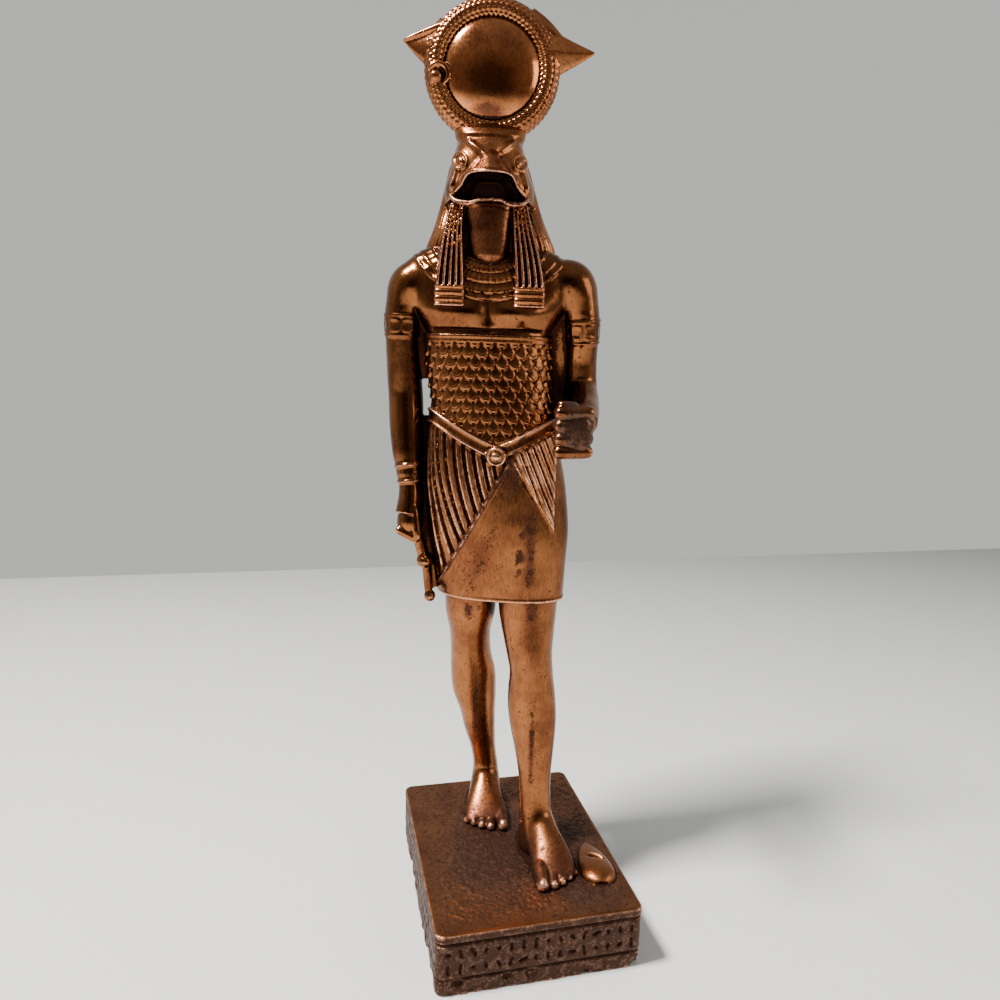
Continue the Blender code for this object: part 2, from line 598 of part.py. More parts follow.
def figure():
    place = (Matrix.Translation((FIGURE_X * MM, FIGURE_Y * MM, PLINTH_HEIGHT * MM))
             @ Matrix.Rotation(radians(FIGURE_TURN), 4, "Z")
             @ Matrix.Scale(SCALE * MM, 4)
             @ Matrix.Translation((0.0, 0.0, -GROUND)))
    parts = [torso(), head(), wig(), throat()] + buckle() + legs() + feet() + hanging_arm() + held_rod()
    parts += bent_arm() + webs() + lappets() + crown()
    obj = fuse("ra_statuette", parts, place)
    remesh = obj.modifiers.new("one skin", "REMESH")
    remesh.mode = "VOXEL"
    remesh.voxel_size = SKIN * SCALE * MM
    thin = obj.modifiers.new("fewer faces", "DECIMATE")
    thin.ratio = FACES_KEPT
    return obj


def apply_modifiers(obj):
    """Replaces the object's mesh by its evaluated one."""
    evaluated = obj.evaluated_get(bpy.context.evaluated_depsgraph_get())
    mesh = bpy.data.meshes.new_from_object(evaluated)
    obj.modifiers.clear()
    obj.data = mesh


def rounded_block(name, width, depth, low, high, corner, edge=0.0):
    """A block with rounded upright corners and, where edge isn't 0, a rounded top edge."""
    bm = bmesh.new()
    bmesh.ops.create_cube(bm, size=1.0)
    bmesh.ops.scale(bm, vec=(width, depth, high - low), verts=bm.verts)
    bmesh.ops.translate(bm, vec=(0.0, 0.0, 0.5 * (low + high)), verts=bm.verts)
    upright_edges = [e for e in bm.edges if abs(e.verts[0].co.z - e.verts[1].co.z) > 0.5 * (high - low)]
    bmesh.ops.bevel(bm, geom=upright_edges, offset=corner, segments=4, profile=0.5, affect="EDGES")
    if edge:
        top = [e for e in bm.edges if min(v.co.z for v in e.verts) > high - 1e-4]
        bmesh.ops.bevel(bm, geom=top, offset=edge, segments=2, profile=0.5, affect="EDGES")
    bmesh.ops.scale(bm, vec=(MM, MM, MM), verts=bm.verts)
    return mesh_object(name, bm)


def stroke_box(name, along, height, tilt, length, face):
    """A cutter for one shallow stroke on a side of the plinth. face is 0 front, 1 right, 2 back, 3 left."""
    half = 0.5 * (PLINTH_DEPTH if face % 2 == 0 else PLINTH_WIDTH)
    bpy.ops.mesh.primitive_cube_add(size=1.0)
    obj = bpy.context.object
    obj.name = name
    size = Matrix.Diagonal((STROKE_WIDTH, 2.0 * STROKE_DEPTH, length, 1.0))
    lean = Matrix.Rotation(tilt, 4, "Y")
    move = Matrix.Translation((along, -half, height))
    turn = Matrix.Rotation(face * pi / 2.0, 4, "Z")
    obj.data.transform(Matrix.Scale(MM, 4) @ turn @ move @ lean @ size)
    return obj


def frieze_strokes():
    """Rows of plain shallow strokes, upright, lying and slanted in turn, on the four sides."""
    low = STEP_HEIGHT + GROOVE_WIDTH
    high = PLINTH_HEIGHT - SLAB_THICKNESS - GROOVE_WIDTH
    tilts = (0.0, 1.57, 0.6, 0.0, -0.6, 1.57)
    cutters = []
    for face in range(4):
        span = (PLINTH_WIDTH if face % 2 == 0 else PLINTH_DEPTH) - 2.0 * PLINTH_CORNER - 3.0
        count = int(span / STROKE_PITCH)
        for row in range(2):
            for k in range(count + 1):
                along = (k - 0.5 * count) * span / count
                height = mix(low, high, 0.28 + 0.44 * row)
                tilt = tilts[(k * 5 + row * 2 + face) % len(tilts)]
                name = f"stroke_{face}_{row}_{k}"
                cutters.append(stroke_box(name, along, height, tilt, 0.3 * (high - low), face))
    return cutters


def groove_cutters():
    """Two square rings that cut the grooves above and below the frieze."""
    rings = []
    width = PLINTH_WIDTH - 2.0 * GROOVE_DEPTH
    depth = PLINTH_DEPTH - 2.0 * GROOVE_DEPTH
    corner = PLINTH_CORNER - 0.5 * GROOVE_DEPTH
    upper = PLINTH_HEIGHT - SLAB_THICKNESS - GROOVE_WIDTH
    for name, low in (("upper_groove", upper), ("lower_groove", STEP_HEIGHT)):
        high = low + GROOVE_WIDTH
        outer = rounded_block(name, PLINTH_WIDTH + 4.0, PLINTH_DEPTH + 4.0, low, high, PLINTH_CORNER + 2.0)
        inner = rounded_block(name + "_core", width, depth, low - 1.0, high + 1.0, corner)
        cut(outer, inner)
        apply_modifiers(outer)
        bpy.data.objects.remove(inner)
        rings.append(outer)
    return rings


def cut(obj, cutter, operation="DIFFERENCE"):
    modifier = obj.modifiers.new(cutter.name, "BOOLEAN")
    modifier.operation = operation
    modifier.solver = "EXACT"
    modifier.object = cutter
    return modifier


def plinth():
    """The oblong plinth with its slab, two grooves, strokes and the broken lower corner."""
    sizes = (PLINTH_WIDTH, PLINTH_DEPTH, 0.0, PLINTH_HEIGHT, PLINTH_CORNER, SLAB_EDGE)
    block = rounded_block("plinth_block", *sizes)
    corner = (0.5 * PLINTH_WIDTH + 0.6, -0.5 * PLINTH_DEPTH - 0.4, 0.6)
    chip = ball("corner_chip", corner, (3.6, 2.2, 1.9), (0.3, 0.5, 0.4), 10)
    cutters = fuse("plinth_cutters", frieze_strokes(), Matrix.Identity(4))
    chip_mesh = fuse("chip_cutter", [chip], Matrix.Scale(MM, 4))
    grooves = groove_cutters()
    for cutter in grooves + [cutters, chip_mesh]:
        cut(block, cutter)
    apply_modifiers(block)
    for cutter in grooves + [cutters, chip_mesh]:
        bpy.data.objects.remove(cutter)
    return block


def staff_pad():
    """The pear-shaped pad beside the front foot, where the lost staff stood, with its dark slot."""
    rows = [(0.0, 19.0, -5.7, 15.0, 1.4, 1.1), (1.0, 18.9, -8.5, 15.2, 2.8, 1.5),
            (2.0, 18.7, -12.0, 15.4, 3.9, 1.9), (3.0, 18.4, -16.0, 15.5, 4.5, 2.3),
            (4.0, 18.0, -19.4, 15.4, 3.9, 2.1), (4.6, 17.8, -21.2, 15.1, 2.2, 1.5)]
    pad = limb("staff_pad", rows, 14, 9)
    slot = ball("pad_slot", (19.2, -13.0, 17.6), (2.5, 1.1, 1.2), (0.0, 0.0, radians(-35.0)), 12)
    lift = Matrix.Translation((0.0, 0.0, (PLINTH_HEIGHT - GROUND) * MM))
    pad = fuse("pad", [pad], lift @ Matrix.Scale(MM, 4))
    slot = fuse("slot", [slot], lift @ Matrix.Scale(MM, 4))
    cut(pad, slot)
    apply_modifiers(pad)
    bpy.data.objects.remove(slot)
    return pad


def copper():
    material = bpy.data.materials.new("copper_plate")
    material.use_nodes = True
    shader = material.node_tree.nodes["Principled BSDF"]
    shader.inputs["Base Color"].default_value = (0.50, 0.19, 0.07, 1.0)
    shader.inputs["Metallic"].default_value = 1.0
    shader.inputs["Roughness"].default_value = 0.28
    return material


def collection(name):
    group = bpy.data.collections.new(name)
    bpy.context.scene.collection.children.link(group)
    return group


def move_to(obj, group):
    for old in list(obj.users_collection):
        old.objects.unlink(obj)
    group.objects.link(obj)


def main():
    for obj in list(bpy.data.objects):
        bpy.data.objects.remove(obj)
    work = collection("ra_statue")
    guides = collection("cutters")
    statue = figure()
    base = plinth()
    pad = staff_pad()
    for guide in (base, pad):
        cut(statue, guide, "UNION")
        guide.hide_render = True
        guide.display_type = "WIRE"
        move_to(guide, guides)
    move_to(statue, work)
    statue.data.materials.clear()
    statue.data.materials.append(copper())


main()
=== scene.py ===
# %% [markdown]
# # A copper-plated statuette of a falcon-headed sun god
#
# The real thing is a small casting, plated with copper, lacquered, and darkened in its hollows.
# Everything on it is one piece of metal: the crown, the head, the arms, the kilt, the legs and the
# plinth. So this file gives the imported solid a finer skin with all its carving, and one copper
# finish that changes over that skin as the real one does.
#
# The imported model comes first. It isn't moved or changed: the finer pieces are made in its frame.

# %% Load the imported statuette
import bpy
import numpy as np
from math import cos, pi, radians, sin
from mathutils import Euler, Matrix, Vector
from mathutils.bvhtree import BVHTree


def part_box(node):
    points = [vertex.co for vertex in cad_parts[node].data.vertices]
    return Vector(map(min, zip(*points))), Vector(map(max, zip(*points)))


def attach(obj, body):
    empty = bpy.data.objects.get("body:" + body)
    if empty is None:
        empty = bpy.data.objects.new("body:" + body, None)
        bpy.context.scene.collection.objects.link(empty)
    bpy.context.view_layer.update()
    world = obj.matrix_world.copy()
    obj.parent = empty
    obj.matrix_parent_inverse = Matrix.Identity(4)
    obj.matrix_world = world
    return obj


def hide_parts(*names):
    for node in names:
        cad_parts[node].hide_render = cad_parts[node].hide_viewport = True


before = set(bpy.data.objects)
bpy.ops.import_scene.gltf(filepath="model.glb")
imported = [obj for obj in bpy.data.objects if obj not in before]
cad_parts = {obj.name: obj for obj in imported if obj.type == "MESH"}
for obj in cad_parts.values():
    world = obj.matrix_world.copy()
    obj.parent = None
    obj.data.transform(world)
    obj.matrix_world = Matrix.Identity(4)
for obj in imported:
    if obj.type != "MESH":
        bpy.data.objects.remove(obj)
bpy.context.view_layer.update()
NODE = "ra_statuette"

# %% [markdown]
# ## Sizes
# The figure is drawn in millimetres in a frame of its own: x to its left arm, y to its back, and
# heights from the underside of a plinth 15.4 mm thick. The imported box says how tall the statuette
# is, and so how much the drawing is scaled. The figure stands a little back on its plinth, and is
# turned by twelve degrees on it.

# %% The driving sizes
MM = 0.001
low_corner, high_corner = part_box(NODE)
PLINTH_WIDTH = 50.0
PLINTH_DEPTH = (high_corner.y - low_corner.y) / MM
PLINTH_HEIGHT = 15.4
PLINTH_CORNER = 2.2       # radius of its upright corners
SLAB_THICKNESS = 1.8
STEP_HEIGHT = 3.8         # the rough lower step
GROOVE_WIDTH = 0.7
GROUND = 15.4             # height of the plinth's top in the drawing
DRAWN_TOP = 224.6         # height of the coil's top in the drawing
SCALE = (high_corner.z / MM - PLINTH_HEIGHT) / (DRAWN_TOP - GROUND)
FIGURE_TURN = -12.0
FIGURE_X = -0.02 * PLINTH_WIDTH
FIGURE_Y = 0.176 * PLINTH_DEPTH
FINE = 1.0      # a coarser skin while trying things
PLACE = (Matrix.Translation((FIGURE_X * MM, FIGURE_Y * MM, PLINTH_HEIGHT * MM))
         @ Matrix.Rotation(radians(FIGURE_TURN), 4, "Z")
         @ Matrix.Scale(SCALE * MM, 4)
         @ Matrix.Translation((0.0, 0.0, -GROUND)))
PLINTH_PLACE = Matrix.Scale(MM, 4)
print("the drawing is scaled by", round(SCALE, 4))
print("the plinth is", round(PLINTH_DEPTH, 1), "mm deep")

# %% [markdown]
# ## Drawing tools
# Carving in relief is a sum of simple curves: a soft step, a band, a row of folds. Each works on
# whole arrays at once, so a ring of five hundred points costs one call.

# %% Soft steps, bands, bumps and folds
def mix(a, b, t):
    return a + (b - a) * t


def ramp(low, high, x):
    """0 below low, 1 above high, and a soft rise between."""
    t = np.clip((x - low) / (high - low), 0.0, 1.0)
    return t * t * (3.0 - 2.0 * t)


def band(low, high, soft, x):
    """1 between low and high, with soft edges."""
    return ramp(low - soft, low + soft, x) * (1.0 - ramp(high - soft, high + soft, x))


def bump(x, at, wide):
    """A rounded hill of height 1."""
    return np.exp(-((x - at) / wide) ** 2)


def folds(x, pitch):
    """Flat-topped folds of height 1 with narrow grooves between."""
    return ramp(0.0, 0.75, np.abs(np.cos(pi * x / pitch)))


print("a soft step at its middle:", float(ramp(0.0, 1.0, 0.5)))


# %% A smooth curve through chosen rows of numbers
def through(rows, count):
    """A smooth curve through rows, the first column being the one that it runs along."""
    rows = np.array(rows, float)
    at = rows[:, 0]
    slopes = np.gradient(rows, at, axis=0)
    s = np.linspace(at[0], at[-1], count)
    way = np.sign(at[-1] - at[0])
    i = np.clip(np.searchsorted(at * way, s * way) - 1, 0, len(at) - 2)
    step = (at[i + 1] - at[i])[:, None]
    t = ((s - at[i])[:, None]) / step
    rise = t * t * (3.0 - 2.0 * t)
    start = t * (1.0 - t) ** 2 * slopes[i] * step
    end = t * t * (t - 1.0) * slopes[i + 1] * step
    return mix(rows[i], rows[i + 1], rise) + start + end


print("half way between rows of 0 and 2:", through([(0.0, 0.0), (1.0, 2.0)], 3)[1, 1])

# %% [markdown]
# ### Noise
# A casting is never quite even. This noise fills space with a lattice of random numbers and blends
# between them, so a point gets the same value however it is reached.

# %% A noise that works on arrays of points
LATTICE_SIDE = 64
LATTICE = np.random.default_rng(7).random((LATTICE_SIDE,) * 3)


def blended(grid, cell, t, wrap=None):
    """The grid's values at the eight corners of each cell, blended at a place t inside it."""
    total = np.zeros(len(cell))
    for corner in range(8):
        d = np.array([(corner >> k) & 1 for k in range(3)])
        i, j, k = (cell + d if wrap is None else (cell + d) % wrap).T
        total += np.prod(np.where(d, t, 1.0 - t), axis=1) * grid[i, j, k]
    return total


def noise(points, size, shift=0.0):
    """Soft random values from -1 to 1, with bumps of about the given size."""
    p = points / size + shift
    cell = np.floor(p).astype(int)
    t = p - cell
    return 2.0 * blended(LATTICE, cell, t * t * (3.0 - 2.0 * t), LATTICE_SIDE) - 1.0


print("noise at the origin:", round(float(noise(np.zeros((1, 3)), 1.0)[0]), 3))

# %% [markdown]
# ### Solid shapes from rings
# A limb, a lock of hair and a plinth are all a stack of closed rings. `lofted` joins such a stack
# with triangles and closes both ends. The other makers only work out where the ring's points lie.

# %% Closed shapes from a stack of rings
def strips(a, b, c, d):
    """Two triangles for each four-sided place between one ring and the next."""
    return [np.stack([a, b, c], -1).reshape(-1, 3), np.stack([a, c, d], -1).reshape(-1, 3)]


def lofted(rings):
    """A closed shape over rings, an array of rows x points x 3. Gives points and triangles."""
    rings = np.asarray(rings, float)
    rows, around = rings.shape[:2]
    k = np.arange(around)
    ahead = (k + 1) % around
    low = (np.arange(rows - 1) * around)[:, None]
    a, b = low + k, low + ahead
    c, d = b + around, a + around
    last, bottom, top = (rows - 1) * around, rows * around, rows * around + 1
    ends = [np.stack([ahead, k, np.full(around, bottom)], -1),
            np.stack([last + k, last + ahead, np.full(around, top)], -1)]
    points = np.concatenate([rings.reshape(-1, 3), rings[:1].mean(1), rings[-1:].mean(1)])
    return points, np.concatenate(strips(a, b, c, d) + ends)


def looped(rings):
    """The same for a stack whose last ring meets its first, such as a hoop."""
    rows, around = rings.shape[:2]
    k = np.arange(around)
    ahead = (k + 1) % around
    low = (np.arange(rows) * around)[:, None]
    high = (low + around) % (rows * around)
    triangles = strips(low + k, low + ahead, high + ahead, high + k)
    return rings.reshape(-1, 3), np.concatenate(triangles)


# %% Outlines of level sections
def circle(count):
    """Angles all round, evenly spaced."""
    return np.linspace(0.0, 2.0 * pi, count, endpoint=False)


def oval(angles, power):
    """Points of a rounded box or an oval of half width 1."""
    c, s = np.cos(angles), np.sin(angles)
    return np.sign(c) * np.abs(c) ** (2.0 / power), np.sign(s) * np.abs(s) ** (2.0 / power)


def evened(x, y, count):
    """Points spread evenly round a closed outline."""
    x, y = np.append(x, x[0]), np.append(y, y[0])
    run = np.append(0.0, np.cumsum(np.hypot(np.diff(x), np.diff(y))))
    at = np.linspace(0.0, run[-1], count, endpoint=False)
    return np.interp(at, run, x), np.interp(at, run, y)


def round_body(x, y, start):
    """Millimetres round a level section, from its front (start 0.75) or its back (start 0.25)."""
    run = np.cumsum(np.hypot(x - np.roll(x, 1), y - np.roll(y, 1)))
    return run - run[int(start * len(run))]


# %% Bodies of level sections, and limbs along a path
def upright(rows, around, along, relief=None, power=2.2, skew=None):
    """A body of level sections: rows hold z, centre x, centre y, half width, front and back."""
    turn = circle(around)
    ox, oy = oval(turn, power)
    rings = []
    for z, cx, cy, half, front, back in through(rows, along):
        x = cx + half * ox
        y = cy + np.where(oy < 0.0, front, back) * oy
        if skew is not None:
            y = y + skew(z) * (x - cx)
        if relief is not None:
            out = relief(x, y, z, cx, turn)
            length = np.hypot(ox * front, oy * half) + 1e-9
            x = x + out * ox * front / length
            y = y + out * oy * half / length
        rings.append(np.stack([x, y, np.full_like(x, z)], axis=1))
    return lofted(rings)


def limb(rows, around, along, relief=None):
    """A limb along a path: rows hold a running number, x, y, z, radius across and in depth."""
    path = through(rows, along)
    points = path[:, 1:4]
    ahead = np.gradient(points, axis=0)
    ahead /= np.linalg.norm(ahead, axis=1)[:, None]
    turn = circle(around)
    rings = []
    for point, way, (across, deep), run in zip(points, ahead, path[:, 4:6], path[:, 0]):
        side = np.array([1.0, 0.0, 0.0]) - way * way[0]
        side /= np.linalg.norm(side)
        up = np.cross(way, side)
        swell = 0.0 if relief is None else relief(run, turn)
        level = (np.cos(turn) * (across + swell))[:, None] * side
        rings.append(point + level + (np.sin(turn) * (deep + swell))[:, None] * up)
    return lofted(rings)


print("a ring of four points, two high:", lofted(np.zeros((2, 4, 3)))[1].shape, "triangles")

# %% [markdown]
# Fingers and toes are rounded bars, bosses and palms are stretched balls, and horns are cones on a
# bent line. All of them are stacks of rings too.

# %% Rounded bars and balls
def sausage(start, end, radius, last=None):
    """A rounded bar, such as a finger or a toe."""
    start, end = Vector(start), Vector(end)
    last = radius if last is None else last
    way = (end - start).normalized()
    side = way.orthogonal().normalized()
    other = np.array(way.cross(side))
    side = np.array(side)
    turn = circle(24)[:, None]
    rings = []
    for t in np.linspace(0.0, 1.0, 25):
        r = mix(radius, last, t)
        wide = max(r * max(1.0 - abs(2.0 * t - 1.0) ** 6, 0.0) ** 0.5, 0.02)
        along = np.array(start + way * ((end - start).length + 2.0 * r) * t - way * r)
        rings.append(along + wide * (side * np.cos(turn) + other * np.sin(turn)))
    return lofted(rings)


def ball(centre, radii, turn=(0.0, 0.0, 0.0), count=64):
    """A stretched ball, turned about its own centre."""
    lean = np.linspace(-0.49 * pi, 0.49 * pi, count // 2)[:, None]
    around = circle(count)
    ring = np.stack([np.cos(lean) * np.cos(around), np.cos(lean) * np.sin(around),
                     np.sin(lean) * np.ones(count)], axis=-1) * np.array(radii)
    spin = np.array(Euler(turn).to_matrix())
    return lofted(ring @ spin.T + np.array(centre))


# %% Hoops and arcs that face the viewer, and horns
def hoop_ring(centre, major, wide, a, turn):
    """One ring of a hoop's skin, at the angle a round the hoop."""
    out = major + wide * np.cos(turn)
    return np.stack([centre[0] + out * cos(a), centre[1] - wide * np.sin(turn),
                     centre[2] + out * sin(a)], axis=1)


def hoop(centre, major, minor, along, around, relief=None):
    """A whole hoop. relief says how much its skin stands out."""
    turn = circle(around)
    swell = (lambda a, turn: 0.0) if relief is None else relief
    rings = [hoop_ring(centre, major, minor + swell(a, turn), a, turn) for a in circle(along)]
    return looped(np.array(rings))


def arc(centre, major, minor, start, end):
    """Part of a hoop, thin at both ends."""
    rings = []
    for t in np.linspace(0.0, 1.0, 60):
        wide = minor * (0.2 + 0.8 * sin(pi * t) ** 0.5)
        rings.append(hoop_ring(centre, major, wide, mix(start, end, t), circle(24)))
    return lofted(rings)


def horn(root, tip, wide, deep, bend, fine, relief=None):
    """A point lofted from its root to its tip along a bent line. fine over 1 hollows its sides."""
    root, tip = np.array(root), np.array(tip)
    turn = circle(60)
    rings = []
    for t in np.linspace(0.0, 1.0, 60):
        middle = mix(root, tip, t) + np.array(bend) * sin(pi * t)
        fall = (1.0 - t) ** fine + 0.05
        swell = 1.0 if relief is None else 1.0 + relief(t, turn)
        deep_part = deep * fall * np.sin(turn) * swell
        rings.append(middle + np.stack([np.zeros(60), deep_part, wide * fall * np.cos(turn)], axis=1))
    return lofted(rings)


print("a ball of", len(ball((0, 0, 0), (1, 1, 1))[0]), "points")

# %% [markdown]
# ## One skin from many shapes
# Fingers, arms and chest overlap as separate shapes, but the casting has one skin with soft inner
# corners. A voxel remesh gives just that: it keeps only the outer surface, as even squares. Even
# squares also make it easy to ask how hollow each spot is, which the finish needs later.

# %% Fuse shapes and remesh them
def gathered(shapes):
    """Several shapes as one set of points and triangles."""
    points, triangles, count = [], [], 0
    for p, t in shapes:
        points.append(p)
        triangles.append(t + count)
        count += len(p)
    return np.concatenate(points), np.concatenate(triangles)


def mesh_of(name, points, triangles):
    mesh = bpy.data.meshes.new(name)
    mesh.vertices.add(len(points))
    mesh.vertices.foreach_set("co", points.ravel())
    mesh.loops.add(triangles.size)
    mesh.loops.foreach_set("vertex_index", triangles.ravel())
    mesh.polygons.add(len(triangles))
    mesh.polygons.foreach_set("loop_start", np.arange(len(triangles)) * 3)
    mesh.update(calc_edges=True)
    return mesh


def evaluated(obj):
    """The object's mesh with its modifiers, as a mesh of its own."""
    depsgraph = bpy.context.evaluated_depsgraph_get()
    mesh = bpy.data.meshes.new_from_object(obj.evaluated_get(depsgraph))
    obj.modifiers.clear()
    obj.data = mesh
    return mesh


def fused(name, shapes, place, voxel):
    """One skin round all the shapes, with voxels of the given size in millimetres."""
    points, triangles = gathered(shapes)
    points = points @ np.array(place.to_3x3()).T + np.array(place.translation)
    obj = bpy.data.objects.new(name, mesh_of(name, points, triangles))
    bpy.context.scene.collection.objects.link(obj)
    remesh = obj.modifiers.new("one skin", "REMESH")
    remesh.mode = "VOXEL"
    remesh.voxel_size = voxel * FINE * MM
    mesh = evaluated(obj)
    print(name, "has", len(mesh.polygons), "squares")
    return obj


# %% [markdown]
# ## How hollow is each spot
# Dark oxide stays in grooves, and handling rubs the ridges bright. To know which is which, the
# points are smoothed a few times: where smoothing lifts a point out of the surface it lay in a
# groove, and where it sinks it stood on a ridge. Larger hollows, such as an armpit, come from the
# imported solid itself: a grid of cells says how much metal stands round each spot, and such
# shut-in places get painted shade.

# %% Points, normals and smoothing
def read(mesh, what, width=3):
    values = np.zeros(len(mesh.vertices) * width, np.float32)
    if what == "normal":
        mesh.vertex_normals.foreach_get("vector", values)
    else:
        mesh.vertices.foreach_get(what, values)
    return values.reshape(-1, width).astype(float)


def edges_of(mesh):
    pairs = np.zeros(len(mesh.edges) * 2, np.int32)
    mesh.edges.foreach_get("vertices", pairs)
    return pairs.reshape(-1, 2)


def smoothed(values, edges, times):
    """Each value drawn towards the mean of its neighbours, several times."""
    count = len(values)
    a, b = edges.T
    near = np.maximum(np.bincount(a, minlength=count) + np.bincount(b, minlength=count), 1)
    for _ in range(times):
        total = np.stack([np.bincount(a, v[b], count) + np.bincount(b, v[a], count)
                          for v in values.T], axis=1)
        values = values + 0.6 * (total / near[:, None] - values)
    return values


# %% How much metal stands round a spot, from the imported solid
CELL = 1.0 * MM
MARGIN = 12               # empty cells round the statuette


def metal_grid():
    """Cells of one millimetre, 1 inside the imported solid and 0 outside."""
    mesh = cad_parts[NODE].data
    tree = BVHTree.FromPolygons([v.co[:] for v in mesh.vertices],
                                [p.vertices[:] for p in mesh.polygons])
    start = np.array(low_corner) - MARGIN * CELL
    shape = np.ceil((np.array(high_corner) + MARGIN * CELL - start) / CELL).astype(int)
    grid = np.zeros(shape)
    for i in range(shape[0]):
        for j in range(shape[1]):
            x, y = start[0] + (i + 0.503) * CELL, start[1] + (j + 0.503) * CELL
            z, marks = start[2], []
            while True:
                hit = tree.ray_cast(Vector((x, y, z)), Vector((0.0, 0.0, 1.0)))[0]
                if hit is None:
                    break
                marks.append((hit.z - start[2]) / CELL)
                z = hit.z + 1e-6
            for bottom, top in zip(marks[::2], marks[1::2]):
                grid[i, j, int(bottom + 0.5):int(top + 0.5)] = 1.0
    return start, grid


# %% Soften that grid and read it
def softened(grid, reach, times):
    """The mean over a box of cells, along each axis in turn."""
    for _ in range(times):
        for axis in range(3):
            total = np.zeros_like(grid)
            for shift in range(-reach, reach + 1):
                total += np.roll(grid, shift, axis)
            grid = total / (2 * reach + 1)
    return grid


def sampled(start, grid, points):
    """The grid's value at each point, blended between cells."""
    p = (points - start) / CELL - 0.5
    cell = np.clip(np.floor(p).astype(int), 0, np.array(grid.shape) - 2)
    return blended(grid, cell, np.clip(p - cell, 0.0, 1.0))


grid_start, metal = metal_grid()
near_metal = softened(metal, 1, 2)
wide_metal = softened(metal, 3, 2)
print("the metal fills", round(float(metal.sum()) * 0.001, 1), "cubic centimetres")

# %% [markdown]
# ## Giving a skin its marks
# Each finished piece carries four numbers at every point: `groove` for dark hollows, `crest` for
# rubbed ridges, `shade` for painted shade in places that are shut in, and a fourth for dull patches
# and for the painted shade and painted reflections of a few places. The shader reads them by name.

# %% Store marks on a skin, and move its points
def add_marks(mesh, **marks):
    """Each mark is stored under its own name, held between 0 and 1."""
    for name, values in marks.items():
        layer = mesh.attributes.new(name, "FLOAT", "POINT")
        layer.data.foreach_set("value", np.clip(values, 0.0, 1.0).astype(np.float32))


def reshape(mesh, points):
    mesh.vertices.foreach_set("co", points.ravel())
    mesh.update()


def drawn(points, place):
    """Points given in the millimetres of the drawing."""
    back = place.inverted()
    return points @ np.array(back.to_3x3()).T + np.array(back.translation)


# %% Measure a skin, roughen it, and thin it
FINE_PASSES = 6           # how often the points are smoothed to find small grooves
WIDE_PASSES = 40          # and large ones
NEAR_LOOK = 1.2 * MM      # how far out of the skin the metal round a spot is read
FAR_LOOK = 2.5 * MM


def finished(obj, place, triangles, rough=None, melt=None, stain=None):
    """Evens and measures the skin, moves it by rough(points, normals), and thins it.

    melt says where the skin is smoothed away, as by a file, and the last argument where it is dull
    and dark, from real stains and from painted shade and painted reflections.
    """
    mesh = obj.data
    edges = edges_of(mesh)
    points = smoothed(read(mesh, "co"), edges, 1)
    if melt is not None:
        melted = smoothed(points, edges, WIDE_PASSES)
        points = mix(points, melted, melt(drawn(points, place))[:, None])
    reshape(mesh, points)
    normals = read(mesh, "normal")
    spots = drawn(points, place)
    if rough is not None:
        points = points + normals * (rough(spots, normals) * MM)[:, None]
        reshape(mesh, points)
        normals = read(mesh, "normal")
    fine = smoothed(points, edges, FINE_PASSES)
    wide = smoothed(fine, edges, WIDE_PASSES)
    lift_fine = ((fine - points) * normals).sum(1) / MM
    lift_wide = ((wide - points) * normals).sum(1) / MM
    groove = ramp(0.0, 0.12, lift_fine) * 0.7 + ramp(0.02, 0.35, lift_wide) * 0.6
    crest = ramp(0.0, 0.10, -lift_fine) * 0.6 + ramp(0.0, 0.35, -lift_wide) * 0.4
    # Painted shade: the more metal stands round a spot, the darker its finish is painted.
    near = sampled(grid_start, near_metal, points + normals * NEAR_LOOK)
    far = sampled(grid_start, wide_metal, points + normals * FAR_LOOK)
    shade = ramp(0.12, 0.5, near) * 0.5 + ramp(0.22, 0.5, far) * 0.8
    dull = np.zeros(len(points)) if stain is None else stain(spots, normals)
    add_marks(mesh, groove=groove, crest=crest, shade=shade, stain=dull)
    count = len(mesh.polygons) * 2
    if count > triangles / FINE ** 2:
        thin = obj.modifiers.new("fewer faces", "DECIMATE")
        thin.ratio = triangles / FINE ** 2 / count
        mesh = evaluated(obj)
    mesh.shade_smooth()
    print(obj.name, "is finished with", sum(len(p.vertices) - 2 for p in mesh.polygons), "triangles")
    return obj


# %% [markdown]
# ## The corselet, the belt and the kilt
# The body below the breast is one upright form. Its carving is worked out from height and from the
# place round the body: overlapping scales on the corselet, a strap with two rims, thick pleats that
# fan towards the diagonal edge of a smooth apron, and a pleated tongue that hangs at the right.

# %% Sizes of the corselet and the kilt
MIDDLE = -3.9             # x of the buckle
BELT_LOW = 119.6          # height of the belt's middle line at the buckle
BELT_RISE = 8.2
BELT_HALF = 1.75
HEM = 81.2
CORSELET_TOP = 147.6
SCALES_AROUND = 25
SCALE_ROW = 2.6
PLEAT_PITCH = 2.5
PLEAT_DEPTH = 1.15
FLANK = -19.7             # the groove, counted round the belt, beyond which pleats are narrow
FLANK_PITCH = 1.6
BACK_PITCH = 2.1
APRON_TOP = (-1.8, 116.0)
APRON_FOOT = (-19.4, 82.6)
TONGUE_ROOT = (0.2, 117.0)
TONGUE_TIP = (10.4, 101.0)
TONGUE_PITCH = 1.8
print("the corselet has", int((CORSELET_TOP - 2.0 - BELT_LOW) / SCALE_ROW), "rows of scales")


# %% The lines that the kilt follows
def belt_height(x, front):
    """Height of the belt's middle line: a V at the front and level behind."""
    spread = np.clip(np.abs(x - MIDDLE) / 16.0, 0.0, 1.0)
    return np.where(front, BELT_LOW + BELT_RISE * spread ** 1.2, BELT_LOW + BELT_RISE)


def apron_edge(z):
    """x of the apron's diagonal edge at a height."""
    (top_x, top_z), (foot_x, foot_z) = APRON_TOP, APRON_FOOT
    return top_x + (z - top_z) * (top_x - foot_x) / (top_z - foot_z)


